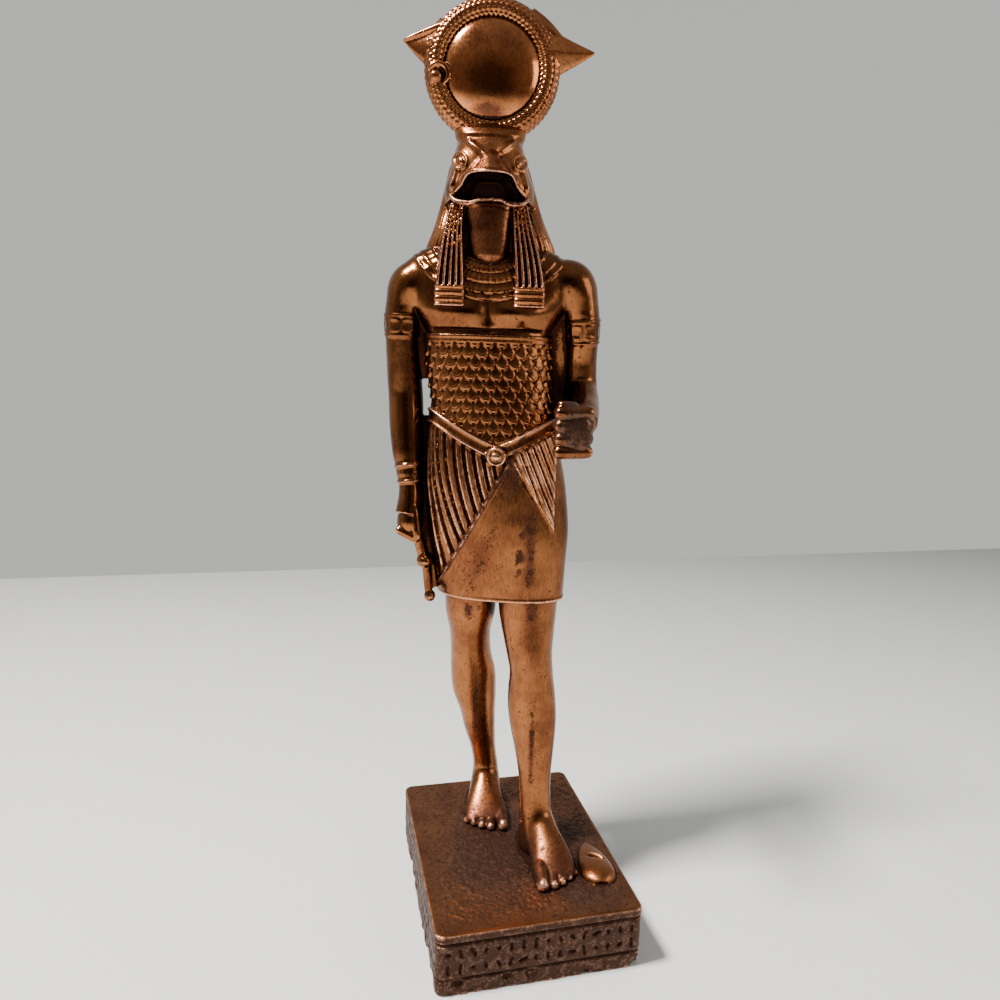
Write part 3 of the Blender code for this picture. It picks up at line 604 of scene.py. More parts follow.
def pleat_start(across, z):
    """Where at the belt the pleat through a place begins. Pleats swing inwards as they fall."""
    start = np.linspace(-34.0, 26.0, 241)
    fall = np.maximum(belt_height(start, True) - BELT_HALF - z, 0.0)
    curve = mix(0.0034, 0.0088, ramp(-24.5, -18.5, start))
    lean = 0.15 * ramp(-18.0, -5.0, start)
    return np.interp(across, start + curve * fall ** 2 + lean * fall, start)


# %% The pleats, the apron and the tongue
def pleats(x, y, z, cx, front):
    """Pleats at the front grow narrow on the flank. Those behind hang straight."""
    start = pleat_start(cx + round_body(x, y, 0.75), z) - FLANK
    count = start / np.where(start > 0.0, PLEAT_PITCH, FLANK_PITCH) + 0.5
    return np.where(front, folds(count, 1.0), folds(round_body(x, y, 0.25), BACK_PITCH))


def kilt_relief(x, y, z, cx, front, below):
    """Pleats at the left and behind, the smooth apron, and the pleated tongue at the right."""
    edge = apron_edge(z)
    pleated = np.where(front, 1.0 - ramp(edge - 0.35, edge + 0.1, x), 1.0)
    lip = 0.25 * band(edge + 0.1, edge + 0.9, 0.15, x) * front
    out = pleated * (pleats(x, y, z, cx, front) * PLEAT_DEPTH - 1.05) + lip
    (root_x, root_z), (tip_x, tip_z) = TONGUE_ROOT, TONGUE_TIP
    slope = (x - root_x) * (tip_z - root_z) / (tip_x - root_x) + root_z
    tongue = np.where(front, ramp(-0.25, 0.25, z - slope), 0.0) * ramp(-0.5, 1.5, x)
    tongue = tongue * (1.0 - ramp(tip_x + 0.1, tip_x + 1.0, x))
    edge_lip = band(0.1, 1.1, 0.2, z - slope) * tongue
    tucks = 0.1 + 0.95 * folds(x - 0.42 * (118.0 - z), TONGUE_PITCH)
    out = out + tongue * tucks * (1.0 - edge_lip) + 0.75 * edge_lip
    hem = 0.18 * band(HEM, HEM + 0.9, 0.2, z)
    return (out + hem) * ramp(-0.1, 0.5, below)


# %% The carving of the belt and the corselet
def belt_relief(z, middle):
    off = np.abs(z - middle)
    strap = 1.0 - ramp(BELT_HALF - 0.12, BELT_HALF + 0.2, off)
    rims = band(BELT_HALF - 0.6, BELT_HALF - 0.08, 0.12, off)
    return 0.45 * strap + 0.42 * rims


def scale_relief(across, z):
    """Overlapping scales with rounded tips. The row above always lies on the row below."""
    down = (CORSELET_TOP - 1.4 - z) / SCALE_ROW
    row = np.floor(down)
    layers = []
    for above in (0, 1):
        u = (across + 0.5 * ((row - above) % 2)) % 1.0 - 0.5
        along = down - row + above
        reach = 1.0 + 0.58 * (1.0 - np.abs(2.0 * u) ** 2.2)
        rim = 0.2 * bump(reach - along, 0.2, 0.14)
        height = 0.25 + 0.4 * along - 0.6 * np.abs(2.0 * u) ** 4 + rim
        layers.append((ramp(-0.06, 0.06, reach - along), height))
    (_, under), (covers, over) = layers
    return mix(under, over, covers)


def corselet_relief(x, y, z, middle):
    run = round_body(x, y, 0.75)
    across = run / np.ptp(run) * SCALES_AROUND
    scales = (0.95 * scale_relief(across, z) - 0.6) * ramp(0.2, 0.7, z - middle - BELT_HALF)
    top = ramp(CORSELET_TOP - 1.9, CORSELET_TOP - 1.7, z)
    return mix(scales, 0.42 - 0.25 * bump(z, CORSELET_TOP - 1.0, 0.25), top)


# %% The kilt and the corselet as two forms that pass behind the belt
def kilt_side(x, y, z, cx, turn):
    """The kilt and the belt. Above the belt this form draws back inside the corselet."""
    front = np.sin(turn) < 0.0
    middle = belt_height(x, front)
    hidden = 1.2 * ramp(0.2, 0.9, z - middle - BELT_HALF)
    carved = kilt_relief(x, y, z, cx, front, middle - BELT_HALF - z)
    return belt_relief(z, middle) + carved - hidden


def corselet_side(x, y, z, cx, turn):
    """The corselet. Below the belt this form draws back inside the kilt."""
    middle = belt_height(x, np.sin(turn) < 0.0)
    return corselet_relief(x, y, z, middle) - 1.2 * ramp(-0.4, 0.4, middle - z)


# %% Build the corselet and kilt
BODY_ROWS = [
    (HEM, -1.5, 0.2, 16.4, 9.4, 8.6),
    (84.0, -2.2, 0.2, 17.2, 9.6, 9.0),
    (90.0, -2.4, 0.1, 17.6, 9.8, 9.8),
    (100.0, -2.8, 0.0, 18.4, 10.2, 11.0),
    (105.0, -3.1, 0.0, 18.3, 10.2, 11.2),
    (112.0, -3.8, 0.0, 18.0, 10.0, 10.6),
    (118.0, -4.3, 0.0, 17.2, 9.8, 9.5),
    (123.0, -4.7, 0.0, 16.5, 9.5, 8.5),
    (128.0, -4.9, 0.0, 15.8, 9.2, 7.9),
    (131.0, -5.2, 0.0, 15.4, 9.0, 7.7),
    (136.0, -5.8, 0.0, 15.6, 9.0, 7.8),
    (142.0, -6.4, 0.0, 15.9, 9.2, 8.2),
    (CORSELET_TOP, -6.7, 0.0, 15.7, 9.3, 8.8),
]


def kilt_lag(z):
    """The kilt turns a little towards the stride as it falls."""
    return -0.13 * (1.0 - ramp(84.0, 112.0, z))


def kilt():
    rows = [row for row in BODY_ROWS if row[0] < 135.0]
    body = upright(rows, 760, 420, kilt_side, 2.3, kilt_lag)
    z = BELT_LOW - 0.9
    plate = ball((MIDDLE, -10.0, z), (2.9, 1.3, 2.1))
    rim = hoop((MIDDLE, -11.0, z), 2.0, 0.36, 60, 16)
    boss = ball((MIDDLE, -11.0, z), (1.5, 0.8, 1.1))
    return [body, plate, rim, boss]


def corselet():
    rows = [row for row in BODY_ROWS if row[0] > 110.0]
    return upright(rows, 900, 360, corselet_side, 2.3)


kilt_skin = fused("kilt_and_belt", kilt(), PLACE, 0.27)
corselet_skin = fused("corselet", [corselet()], PLACE, 0.21)

# %% [markdown]
# ## The chest and the arms
# The chest ends inside the corselet's top band, so no seam shows. A broad collar lies on it: four
# thin rims with rows of small beads between, and on the shoulders a row of small wedges. The arms
# hang from rounded shoulders, one straight down, one bent towards the front with a closed fist.

# %% The collar and the breast
CHEST_X = -6.9
COLLAR_CENTRE = 172.0     # height from which the collar's rings are drawn
COLLAR_RIMS = (0.48, 0.60, 0.745, 0.895, 1.0)


def collar_reach(side, z):
    """How far out on the collar a place is: 1 at its outer edge."""
    return np.hypot(side / 19.5, (z - COLLAR_CENTRE) / 16.3)


def chest_relief(x, y, z, cx, turn):
    front = (np.sin(turn) < 0.0) * 1.0
    side = np.abs(x - cx)
    muscle = np.exp(-((side - 7.0) / 5.5) ** 2 - ((z - 152.3) / 3.0) ** 2)
    valley = bump(side, 0.0, 1.7) * band(149.0, 155.5, 2.5, z)
    crease = bump(z, 148.7, 0.45) * (1.0 - ramp(12.0, 15.0, side))
    out = front * (1.4 * muscle - 1.0 * valley - 0.45 * crease)
    reach = collar_reach(side, z)
    collar = band(0.4, 1.0, 0.012, reach) * ramp(150.0, 156.0, z)
    rims = sum(bump(reach, at - 0.012, 0.017) for at in COLLAR_RIMS)
    lean = np.arctan2(side, COLLAR_CENTRE - z)
    beads = np.abs(np.sin(lean * 26.0)) ** 0.6 * band(0.50, 0.87, 0.01, reach)
    off = np.abs((lean * 17.0 / pi) % 1.0 - 0.5) * 3.2
    wedges = np.clip(1.0 - off * (0.4 + (reach - 0.9) * 10.0), 0.0, 1.0)
    wedges = wedges * band(0.915, 0.975, 0.008, reach)
    return out + collar * (0.18 + 0.5 * rims + 0.22 * beads + 0.35 * wedges)


print("the collar has", len(COLLAR_RIMS), "rims")


# %% The chest
def chest():
    rows = [
        (142.0, -6.4, 0.0, 14.0, 7.4, 6.6),
        (146.0, -6.6, 0.0, 14.7, 8.2, 7.6),
        (148.5, -6.8, 0.0, 15.4, 8.6, 8.4),
        (150.5, -6.8, 0.0, 16.6, 8.8, 9.0),
        (154.0, -6.9, 0.0, 19.0, 9.2, 9.4),
        (158.0, -6.9, 0.2, 20.8, 8.9, 9.2),
        (161.5, -6.8, 0.4, 22.2, 8.2, 8.6),
        (164.5, -6.8, 0.5, 20.9, 7.2, 7.8),
        (167.0, -6.8, 0.6, 17.4, 6.2, 6.8),
        (169.0, -6.9, 0.6, 13.0, 5.0, 5.6),
        (170.5, -6.9, 0.6, 8.0, 3.6, 4.4),
    ]
    return upright(rows, 520, 160, chest_relief, 2.3)


# %% [markdown]
# An armlet is a flat band with two thin rims and a row of small frames. A bracelet is two rings with
# a row of dots between. Both wrap a limb, so they are functions of the run along it and the angle
# round it.

# %% Armlets and bracelets
def armlet(start, end):
    """A band with rims and small sunk frames."""
    def relief(run, turn):
        rims = band(start, start + 0.13, 0.05, run) + band(end - 0.13, end, 0.05, run)
        inside = band(start + 0.22, end - 0.22, 0.06, run)
        cell = (turn * 8.0 / (2.0 * pi)) % 1.0
        sunk = band(0.26, 0.74, 0.05, cell) * band(start + 0.36, end - 0.36, 0.05, run)
        frame_line = band(0.14, 0.86, 0.05, cell) - sunk
        return 0.14 * band(start, end, 0.05, run) + 0.24 * rims + 0.24 * inside * frame_line
    return relief


def bracelet(start, end):
    """Two rings with a row of dots between."""
    def relief(run, turn):
        thick = 0.16 * (end - start)
        rings = band(start, start + thick, 0.04, run) + band(end - thick, end, 0.04, run)
        middle = bump(run, 0.5 * (start + end), 0.22 * (end - start))
        dots = np.abs(np.sin(turn * 9.0)) ** 0.8 * middle
        return 0.12 * band(start, end, 0.05, run) + 0.4 * rings + 0.25 * dots
    return relief


# %% The hanging arm and the short rod in its hand
def banded_arm(rows, wrist_start, wrist_end):
    """An arm with its armlet and bracelet. The run along it is 0 at the shoulder."""
    upper, lower = armlet(2.65, 3.85), bracelet(wrist_start, wrist_end)
    return limb(rows, 140, 420, lambda run, turn: upper(run, turn) + lower(run, turn))


def hanging_arm():
    rows = [
        (0.0, -21.5, 0.6, 160.6, 4.8, 5.6),
        (0.8, -25.2, 0.6, 159.4, 5.8, 6.4),
        (2.0, -27.4, 0.6, 154.6, 4.9, 5.6),
        (3.5, -27.9, 0.7, 148.5, 4.4, 5.1),
        (5.2, -27.7, 1.1, 140.0, 4.3, 4.8),
        (7.0, -27.1, 1.3, 131.5, 4.4, 4.6),
        (8.3, -26.8, 0.4, 125.0, 4.3, 4.5),
        (9.7, -26.3, -0.7, 118.0, 3.9, 4.1),
        (11.0, -25.6, -1.7, 111.6, 2.9, 3.4),
        (12.0, -25.3, -2.2, 106.8, 3.1, 3.9),
        (12.8, -25.6, -2.7, 102.6, 3.5, 4.4),
    ]
    arm = banded_arm(rows, 10.3, 11.25)
    palm = ball((-25.4, -2.6, 100.4), (3.3, 4.3, 5.0))
    thumb = sausage((-24.2, -5.2, 104.5), (-23.2, -6.2, 97.2), 1.3, 1.15)
    fingers = []
    for k in range(4):
        root = (-27.6, -5.6 + 2.0 * k, 98.6 - 0.5 * k)
        fingers.append(sausage(root, (-23.6, -5.8 + 2.0 * k, 96.6), 1.25))
    return [arm, palm, thumb] + fingers


def held_rod():
    return [sausage((-23.6, -3.6, 97.5), (-21.9, -3.6, 91.5), 1.3),
            ball((-21.4, -3.8, 90.4), (2.1, 2.3, 1.9)),
            sausage((-21.0, -3.8, 89.0), (-20.2, -3.8, 81.8), 1.05),
            ball((-19.9, -3.8, 81.0), (1.5, 1.6, 1.6))]


# %% The bent arm and its fist
def bent_arm():
    rows = [
        (0.0, 9.4, 0.6, 161.8, 4.8, 5.6),
        (0.8, 13.2, 0.6, 160.9, 5.9, 6.4),
        (2.0, 15.9, 0.8, 155.2, 5.0, 5.6),
        (3.5, 16.8, 1.4, 148.5, 4.4, 5.1),
        (5.0, 17.0, 2.4, 141.0, 4.3, 4.7),
        (6.2, 17.3, 1.9, 135.0, 4.4, 4.8),
        (7.2, 17.4, -3.0, 131.2, 4.3, 4.8),
        (8.4, 16.8, -8.5, 129.2, 4.1, 4.3),
        (9.7, 15.6, -14.0, 127.8, 3.5, 3.6),
        (10.6, 14.4, -17.8, 126.8, 3.1, 3.6),
    ]
    arm = banded_arm(rows, 9.3, 10.1)
    palm = ball((13.5, -21.2, 126.2), (4.3, 3.9, 5.9))
    thumb = sausage((13.4, -20.0, 131.8), (10.2, -23.2, 132.2), 1.2)
    fingers = []
    for k in range(4):
        z = 130.6 - 2.95 * k
        fingers.append(sausage((16.2, -23.4 + 0.1 * k, z + 0.2), (10.0, -24.1, z), 1.62))
        fingers.append(sausage((9.9, -23.9, z), (10.2, -20.5, z - 0.2), 1.5))
    ends, sides = (2.8, 2.1, 2.0), (3.3, 2.5, 2.0)
    heights = ((120.9, ends), (122.3, sides), (130.2, sides), (131.4, ends))
    block = upright([(z, 13.1, -22.4, *size) for z, size in heights], 60, 40, power=4.0)
    return [arm, palm, thumb, block] + fingers


# %% [markdown]
# The mould left metal standing between the arms and the body. It lies back in the shade, but the
# outline shows it: only one narrow slit beside the waist is open.

# %% The metal left between arms and body
def webs():
    left_armpit = [(136.6, -23.4, 2.2, 2.6, 1.8, 2.2), (138.5, -23.4, 2.2, 3.4, 2.4, 2.6),
                   (157.0, -23.4, 1.0, 4.0, 3.6, 3.6)]
    left_hip = [(83.0, -19.6, -2.0, 1.9, 1.6, 3.0), (92.0, -20.6, -1.6, 2.0, 1.8, 3.0),
                (99.0, -22.0, -0.6, 2.6, 2.2, 3.0), (110.0, -22.6, 0.4, 2.6, 2.2, 2.4),
                (127.4, -22.8, 1.4, 2.6, 2.0, 2.0)]
    right_armpit = [(127.0, 12.0, 3.4, 4.4, 2.4, 2.6), (140.0, 11.8, 3.0, 4.4, 2.8, 3.0),
                    (157.0, 10.6, 1.0, 4.4, 3.6, 3.6)]
    return [upright(left_armpit, 48, 60, power=3.0), upright(left_hip, 48, 120, power=3.0),
            upright(right_armpit, 48, 80, power=3.0)]


limbs = hanging_arm() + held_rod() + bent_arm() + webs()
chest_and_arms = fused("chest_and_arms", [chest()] + limbs, PLACE, 0.27)

# %% [markdown]
# ## The falcon's head and its wig
# The face is a wedge of a beak over an arched mouth, with a hollow under it that ends in a thin rim
# on the throat. A fine line runs round each eye and down the cheek. The wig falls over the back in
# ribs and over the chest in two ribbed locks with banded ends.

# %% Sizes of the head
HEAD_X = -7.4
BEAK_TOP = 189.6
BEAK_EDGE = 183.3         # height of the beak's lower edge at its middle
BEAK_REACH = 4.8
CHEEK_DROP = 5.2          # how much lower that edge is at the cheeks
CHIN = 177.4
WIG_RIBS = 27             # half the number of ribs round the wig
print("the beak is", round(BEAK_TOP - BEAK_EDGE, 1), "mm high")


# %% The face
def eye_relief(side, z):
    """A raised eye in a fine ring, with a line that drops from it to the cheek."""
    reach = np.hypot((side - 7.0) / 1.6, (z - 187.3 - 0.3 * (side - 7.0)) / 1.9)
    eye = 0.5 * np.clip(1.0 - reach ** 2 * 1.6, 0.0, 1.0) + 0.42 * bump(reach, 1.0, 0.2)
    down = 185.0 - z
    drop = bump(side - 7.9 - 0.12 * down, 0.0, 0.26) - bump(side - 7.1 - 0.16 * down, 0.0, 0.3)
    return eye - 0.35 * bump(reach, 0.66, 0.16) + 0.35 * drop * band(180.4, 185.6, 0.5, z)


def mouth_arch(side):
    """Height of the beak's lower edge."""
    return BEAK_EDGE - CHEEK_DROP * ramp(3.2, 10.2, side)


def head_relief(x, y, z, cx, turn):
    """The beak over its arched edge, the hollow under it, the brows and a rounded band on top."""
    front = (np.sin(turn) < 0.0) * 1.0
    side = np.abs(x - HEAD_X)
    arch = mouth_arch(side)
    down = np.clip((BEAK_TOP - z) / (BEAK_TOP - BEAK_EDGE), 0.0, 1.0)
    wedge = np.clip(1.0 - (side / (0.9 + 5.4 * down)) ** 1.6, 0.0, 1.0)
    beak = BEAK_REACH * wedge * down ** 0.8
    cheek = 0.9 * np.exp(-((side - 8.6) / 2.0) ** 2 - ((z - 181.6) / 2.4) ** 2)
    hollow = -5.0 * (1.0 - ramp(7.6, 10.2, side)) * ramp(CHIN + 0.3, CHIN + 1.0, z)
    brow = 0.6 * bump(z - 188.9 - 0.9 * (side - 2.0), 0.0, 0.9) * band(1.0, 5.6, 0.9, side)
    ledge = 0.5 * band(193.1, 195.6, 0.7, z) - 0.25 * bump(z, 192.3, 0.8)
    rim = 0.4 * bump(z - arch, 0.45, 0.4)
    face = beak + cheek + eye_relief(side, z) + brow + rim + ledge
    return front * np.where(z > arch, face, hollow)


def head():
    rows = [
        (176.2, -7.3, 0.4, 9.6, 6.6, 10.0),
        (178.5, -7.2, 0.3, 10.5, 7.8, 10.4),
        (181.0, -7.3, 0.0, 10.4, 8.4, 10.2),
        (184.0, -7.4, 0.0, 9.9, 8.4, 9.8),
        (187.0, -7.5, 0.0, 9.2, 8.0, 9.2),
        (190.0, -7.5, 0.2, 8.4, 7.4, 8.2),
        (192.5, -7.5, 0.4, 7.9, 6.4, 6.8),
        (194.6, -7.5, 0.4, 8.0, 4.8, 5.2),
        (196.6, -7.5, 0.2, 8.7, 2.8, 3.0),
    ]
    return upright(rows, 520, 300, head_relief, 2.3)


# %% The wig
def wig_relief(x, y, z, cx, turn):
    """Ribs that fan out from the temples."""
    return 0.6 * folds(turn * WIG_RIBS / pi, 1.0) * (1.0 - ramp(186.0, 192.0, z)) - 0.4


def wig():
    rows = [
        (148.0, -6.8, 3.0, 9.0, 1.0, 7.6),
        (152.0, -6.8, 3.0, 9.6, 1.0, 7.9),
        (158.0, -6.8, 3.0, 11.0, 2.0, 8.0),
        (163.0, -6.8, 2.6, 14.0, 5.0, 8.2),
        (166.0, -6.7, 2.0, 16.2, 7.0, 8.6),
        (168.5, -6.6, 1.6, 15.7, 7.6, 8.9),
        (172.5, -6.7, 1.4, 14.0, 7.2, 9.3),
        (177.0, -7.0, 1.4, 12.4, 4.6, 9.7),
        (181.8, -7.2, 1.4, 11.0, 3.6, 10.0),
        (186.4, -7.4, 1.4, 9.8, 4.0, 9.4),
        (190.0, -7.5, 1.2, 8.7, 5.0, 8.0),
        (193.0, -7.5, 0.8, 7.9, 4.0, 5.6),
    ]
    return upright(rows, 900, 260, wig_relief, 2.2)


# %% The front locks
def lappet(rows):
    """One front lock, with three bands at its end. Rows hold z, inner x, outer x and front y."""
    ox, oy = evened(*oval(circle(720), 5.0), 360)
    rings = []
    for z, inner, outer, front in through(rows, 260):
        middle, half = 0.5 * (inner + outer), 0.5 * abs(outer - inner)
        ribs = ramp(0.3, 0.95, np.abs(np.cos(pi * ox / 0.4))) * ramp(158.7, 159.1, z)
        bands = (0.25 + 0.5 * folds(z - 154.1, 1.55)) * (1.0 - ramp(158.5, 158.9, z))
        y = front + 2.2 + 2.2 * oy - np.where(oy < -0.3, ribs + bands - 0.55, 0.0)
        rings.append(np.stack([middle + half * ox, y, np.full_like(ox, z)], axis=1))
    return lofted(rings)


def lappets():
    left = [(154.0, -12.5, -19.8, -10.3), (159.0, -12.5, -19.7, -10.2), (166.0, -12.9, -18.9, -9.0),
            (173.0, -13.3, -17.6, -7.4), (177.6, -13.2, -16.5, -6.5)]
    right = [(154.2, -1.1, 6.5, -10.3), (159.2, -1.1, 6.4, -10.2), (166.0, -1.4, 5.1, -9.0),
             (173.0, -1.8, 3.0, -7.4), (177.6, -2.0, 1.8, -6.5)]
    return [lappet(left), lappet(right)]


# %% The throat and the jaw
def throat():
    rows = [(163.6, -6.9, -3.0, 2.4, 3.2, 3.0), (165.0, -6.9, -3.0, 4.2, 4.7, 3.0),
            (168.0, -7.0, -3.0, 5.3, 5.2, 3.0), (173.0, -7.1, -3.0, 5.7, 4.9, 3.0),
            (177.0, -7.2, -3.0, 6.0, 4.7, 3.0), (177.8, -7.2, -3.0, 5.9, 4.4, 3.0)]
    return upright(rows, 120, 90, power=2.4)


def jaw():
    """The wavy lower rim of the mouth."""
    rows = [(0.0, -16.6, -6.0, 179.6, 0.4, 0.4), (1.0, -15.3, -7.6, 178.0, 0.5, 0.5),
            (2.0, -12.4, -8.8, 177.3, 0.5, 0.6), (3.0, -9.4, -8.9, 178.0, 0.4, 0.6),
            (4.0, -5.4, -8.9, 178.2, 0.4, 0.6), (5.0, -2.4, -8.8, 177.4, 0.5, 0.6),
            (6.0, 0.6, -7.6, 177.8, 0.5, 0.5), (7.0, 1.9, -6.0, 179.4, 0.4, 0.4)]
    return limb(rows, 20, 120)


head_and_wig = fused("head_and_wig", [head(), wig(), throat(), jaw()] + lappets(), PLACE, 0.22)

# %% [markdown]
# ## The crown
# A polished sun disc sits in the coil of a serpent. The serpent's skin is covered in rows of small
# beads, set like bricks. Its head makes a hollow-sided point at the left, with a small curl under
# it, and a broader point stands out at the right.

# %% The disc, the serpent's coil and the points
DISC_X = -7.5
DISC_Z = 208.6
DISC_RADIUS = 11.2
RING_RADIUS = 13.1        # to the middle of the serpent's body
RING_HALF = 2.7
BEADS_ALONG = 66
BEADS_AROUND = 16


def bead_relief(a, turn):
    """Small beads in rows, each row shifted by half a bead."""
    row = turn * BEADS_AROUND / (2.0 * pi)
    shift = 0.5 * (np.floor(row) % 2)
    along = a * BEADS_ALONG / (2.0 * pi) + shift
    return 0.42 * np.sqrt(np.abs(np.sin(pi * row) * np.sin(pi * along))) - 0.14


def faceted(t, turn):
    """Flattens the four sides between a point's ridges."""
    return -0.24 * np.abs(np.sin(2.0 * turn))


print("the coil has", BEADS_ALONG * BEADS_AROUND, "beads")


# %% Build the crown
def crown():
    disc = ball((DISC_X, -0.6, DISC_Z), (DISC_RADIUS + 0.6, 4.2, DISC_RADIUS + 0.6), count=160)
    web = ball((DISC_X, 0.0, DISC_Z), (RING_RADIUS, 1.9, RING_RADIUS), count=96)
    ring = hoop((DISC_X, 0.0, DISC_Z), RING_RADIUS, RING_HALF, 780, 170, bead_relief)
    left = horn((-19.8, 0.0, 213.4), (-28.6, 0.0, 214.6), 6.0, 2.4, (0.0, 0.0, -1.1), 1.25)
    right = horn((5.2, 0.0, 212.6), (16.6, 0.0, 213.5), 5.6, 2.9, (0.0, 0.0, -0.2), 1.0, faceted)
    step = horn((1.6, 0.0, 219.0), (10.2, 0.0, 214.6), 3.4, 2.6, (0.0, 0.0, 0.6), 0.7, faceted)
    brow = sausage((-18.5, -1.5, 217.6), (-28.0, -0.3, 214.6), 1.1, 0.35)
    curl = arc((-20.0, -2.7, 206.6), 2.3, 0.75, -1.0, 2.9)
    knob = ball((-20.6, -2.2, 206.2), (1.6, 1.4, 1.5))
    eye = ball((-22.4, -2.2, 213.6), (0.75, 0.7, 0.75))
    feet = [ball((-14.2, 0.4, 196.9), (2.3, 2.2, 2.4)), ball((-0.6, 0.4, 196.9), (2.3, 2.2, 2.4))]
    return [disc, web, ring, left, right, step, brow, curl, knob, eye] + feet


crown_piece = fused("sun_crown", crown(), PLACE, 0.21)

# %% [markdown]
# ## The legs and the feet
# The figure strides: one leg stands back, the other a long step ahead. Each foot is a loft from the
# heel to the ball, with five toes.

# %% Legs
def legs():
    rear = [
        (84.0, -9.3, 2.6, 6.9, 7.0, 7.6),
        (75.1, -9.25, 3.4, 6.65, 6.6, 7.0),
        (69.1, -9.2, 4.3, 5.6, 6.2, 5.9),
        (62.9, -8.85, 5.3, 5.55, 5.8, 5.5),
        (56.7, -8.1, 6.3, 6.2, 5.2, 6.8),
        (50.2, -7.55, 7.4, 6.05, 4.8, 7.0),
        (43.7, -6.5, 8.4, 5.0, 4.4, 6.0),
        (37.0, -5.6, 9.4, 4.3, 4.1, 4.8),
        (30.3, -4.35, 10.4, 3.65, 3.8, 4.0),
        (25.5, -3.7, 10.9, 3.7, 4.2, 4.3),
        (20.0, -3.5, 10.8, 3.9, 5.0, 4.8),
        (GROUND - 0.6, -3.5, 10.5, 4.1, 5.5, 5.2),
    ]
    front = [
        (84.0, 5.9, -1.8, 7.9, 7.6, 7.2),
        (77.0, 5.85, -2.4, 7.55, 7.2, 7.0),
        (71.8, 6.15, -3.2, 6.85, 6.9, 6.2),
        (66.6, 6.6, -4.1, 6.1, 6.6, 5.6),
        (61.4, 7.3, -5.0, 5.75, 6.0, 6.0),
        (56.2, 7.5, -5.9, 6.2, 5.4, 7.0),
        (50.9, 7.85, -6.8, 6.35, 5.0, 7.2),
        (45.7, 8.25, -7.7, 5.85, 4.8, 6.4),
        (40.5, 8.65, -8.6, 5.05, 4.5, 5.4),
        (35.3, 8.9, -9.5, 4.4, 4.3, 4.7),
        (29.0, 9.2, -10.4, 4.2, 4.4, 4.4),
        (24.0, 9.5, -11.0, 4.3, 5.2, 4.8),
        (19.0, 9.7, -11.2, 4.5, 6.0, 5.2),
        (GROUND - 0.6, 9.8, -11.2, 4.6, 6.4, 5.4),
    ]
    return [upright(rear, 120, 260, power=2.0), upright(front, 120, 260, power=2.0)]


# %% Feet and toes
def foot(rows, toes):
    """Sections from heel to ball hold y, centre x, half width and height. A toe has its own bar."""
    turn = circle(90)
    sink = 0.7
    rings = []
    for y, cx, half, height in through(rows, 110):
        x = cx + half * np.cos(turn)
        z = GROUND - sink + (height + sink) * 0.5 * (1.0 + np.sin(turn))
        rings.append(np.stack([x, np.full_like(x, y), z], axis=1))
    parts = [lofted(rings)]
    for x, tip, root_x, root_y, r in toes:
        end = (x, tip + r, GROUND + r * 0.75)
        parts.append(sausage((root_x, root_y, GROUND + r * 1.5), end, r * 1.05, r))
        nail = (x, tip + r * 0.9, GROUND + r * 1.42)
        parts.append(ball(nail, (r * 0.62, r * 0.8, r * 0.4), (0.35, 0.0, 0.0), 32))
    return parts


def feet():
    rear = [(17.0, -3.6, 1.6, 4.0), (15.6, -3.6, 3.3, 8.0), (13.0, -3.5, 3.9, 11.0),
            (9.5, -3.6, 4.2, 12.0), (6.0, -3.7, 4.5, 9.8), (2.0, -3.6, 5.3, 6.8),
            (-1.0, -3.4, 5.9, 4.6), (-3.0, -3.3, 5.7, 3.3), (-4.0, -3.3, 5.2, 2.5)]
    rear_toes = [(1.3, -7.3, 0.9, -0.6, 1.55), (-2.1, -7.3, -2.0, -1.5, 1.15),
                 (-4.5, -6.4, -4.0, -1.2, 1.1), (-6.7, -5.2, -5.9, -0.6, 1.05),
                 (-8.6, -3.9, -7.4, 0.4, 1.0)]
    front = [(-5.2, 9.9, 1.6, 4.0), (-6.5, 9.9, 3.4, 8.0), (-9.0, 9.8, 4.1, 11.0),
             (-12.5, 10.2, 4.4, 12.0), (-16.0, 11.2, 4.7, 9.8), (-20.0, 12.8, 5.1, 7.0),
             (-23.5, 13.4, 5.3, 4.7), (-25.6, 13.4, 5.0, 3.4), (-26.8, 13.2, 4.4, 2.6)]
    front_toes = [(10.4, -31.4, 10.0, -24.5, 1.6), (13.2, -30.3, 12.6, -25.0, 1.15),
                  (15.2, -29.0, 14.4, -24.5, 1.1), (17.0, -27.3, 15.9, -23.5, 1.05),
                  (18.5, -25.3, 17.1, -22.0, 1.0)]
    return foot(rear, rear_toes) + foot(front, front_toes)


legs_and_feet = fused("legs_and_feet", legs() + feet(), PLACE, 0.33)

# %% [markdown]
# ## The plinth
# A grained slab lies on a frieze of shallow strokes between two grooves, over a rough lower step.
# The strokes are plain ornament: upright, lying and slanted in turn. The ring of the plinth's
# outline is stacked from the table up, and pushed in by the carving, so it never grows past the
# packed plinth.

# %% The plinth's outline and its carving
FRIEZE_LOW = STEP_HEIGHT + GROOVE_WIDTH
FRIEZE_HIGH = PLINTH_HEIGHT - SLAB_THICKNESS - GROOVE_WIDTH
STROKE_WIDTH = 0.75
STROKE_PITCH = 2.9
STROKE_DEPTH = 0.6
STROKE_LENGTHS = (2.5, 1.3, 1.9, 2.9, 1.6)
STROKE_TILTS = (0.0, 0.35, 1.57, 0.0, -0.5, 0.1, 1.2, -0.15)
STROKE_MARGIN = 1.5       # plain metal left at the ends of a face
EDGE_ROUND = 0.7          # radius of the slab's upper edge
CHIP = np.array([25.8, -31.8, 0.6])     # the broken lower corner
print("each face of the frieze is", round(FRIEZE_HIGH - FRIEZE_LOW, 1), "mm high")


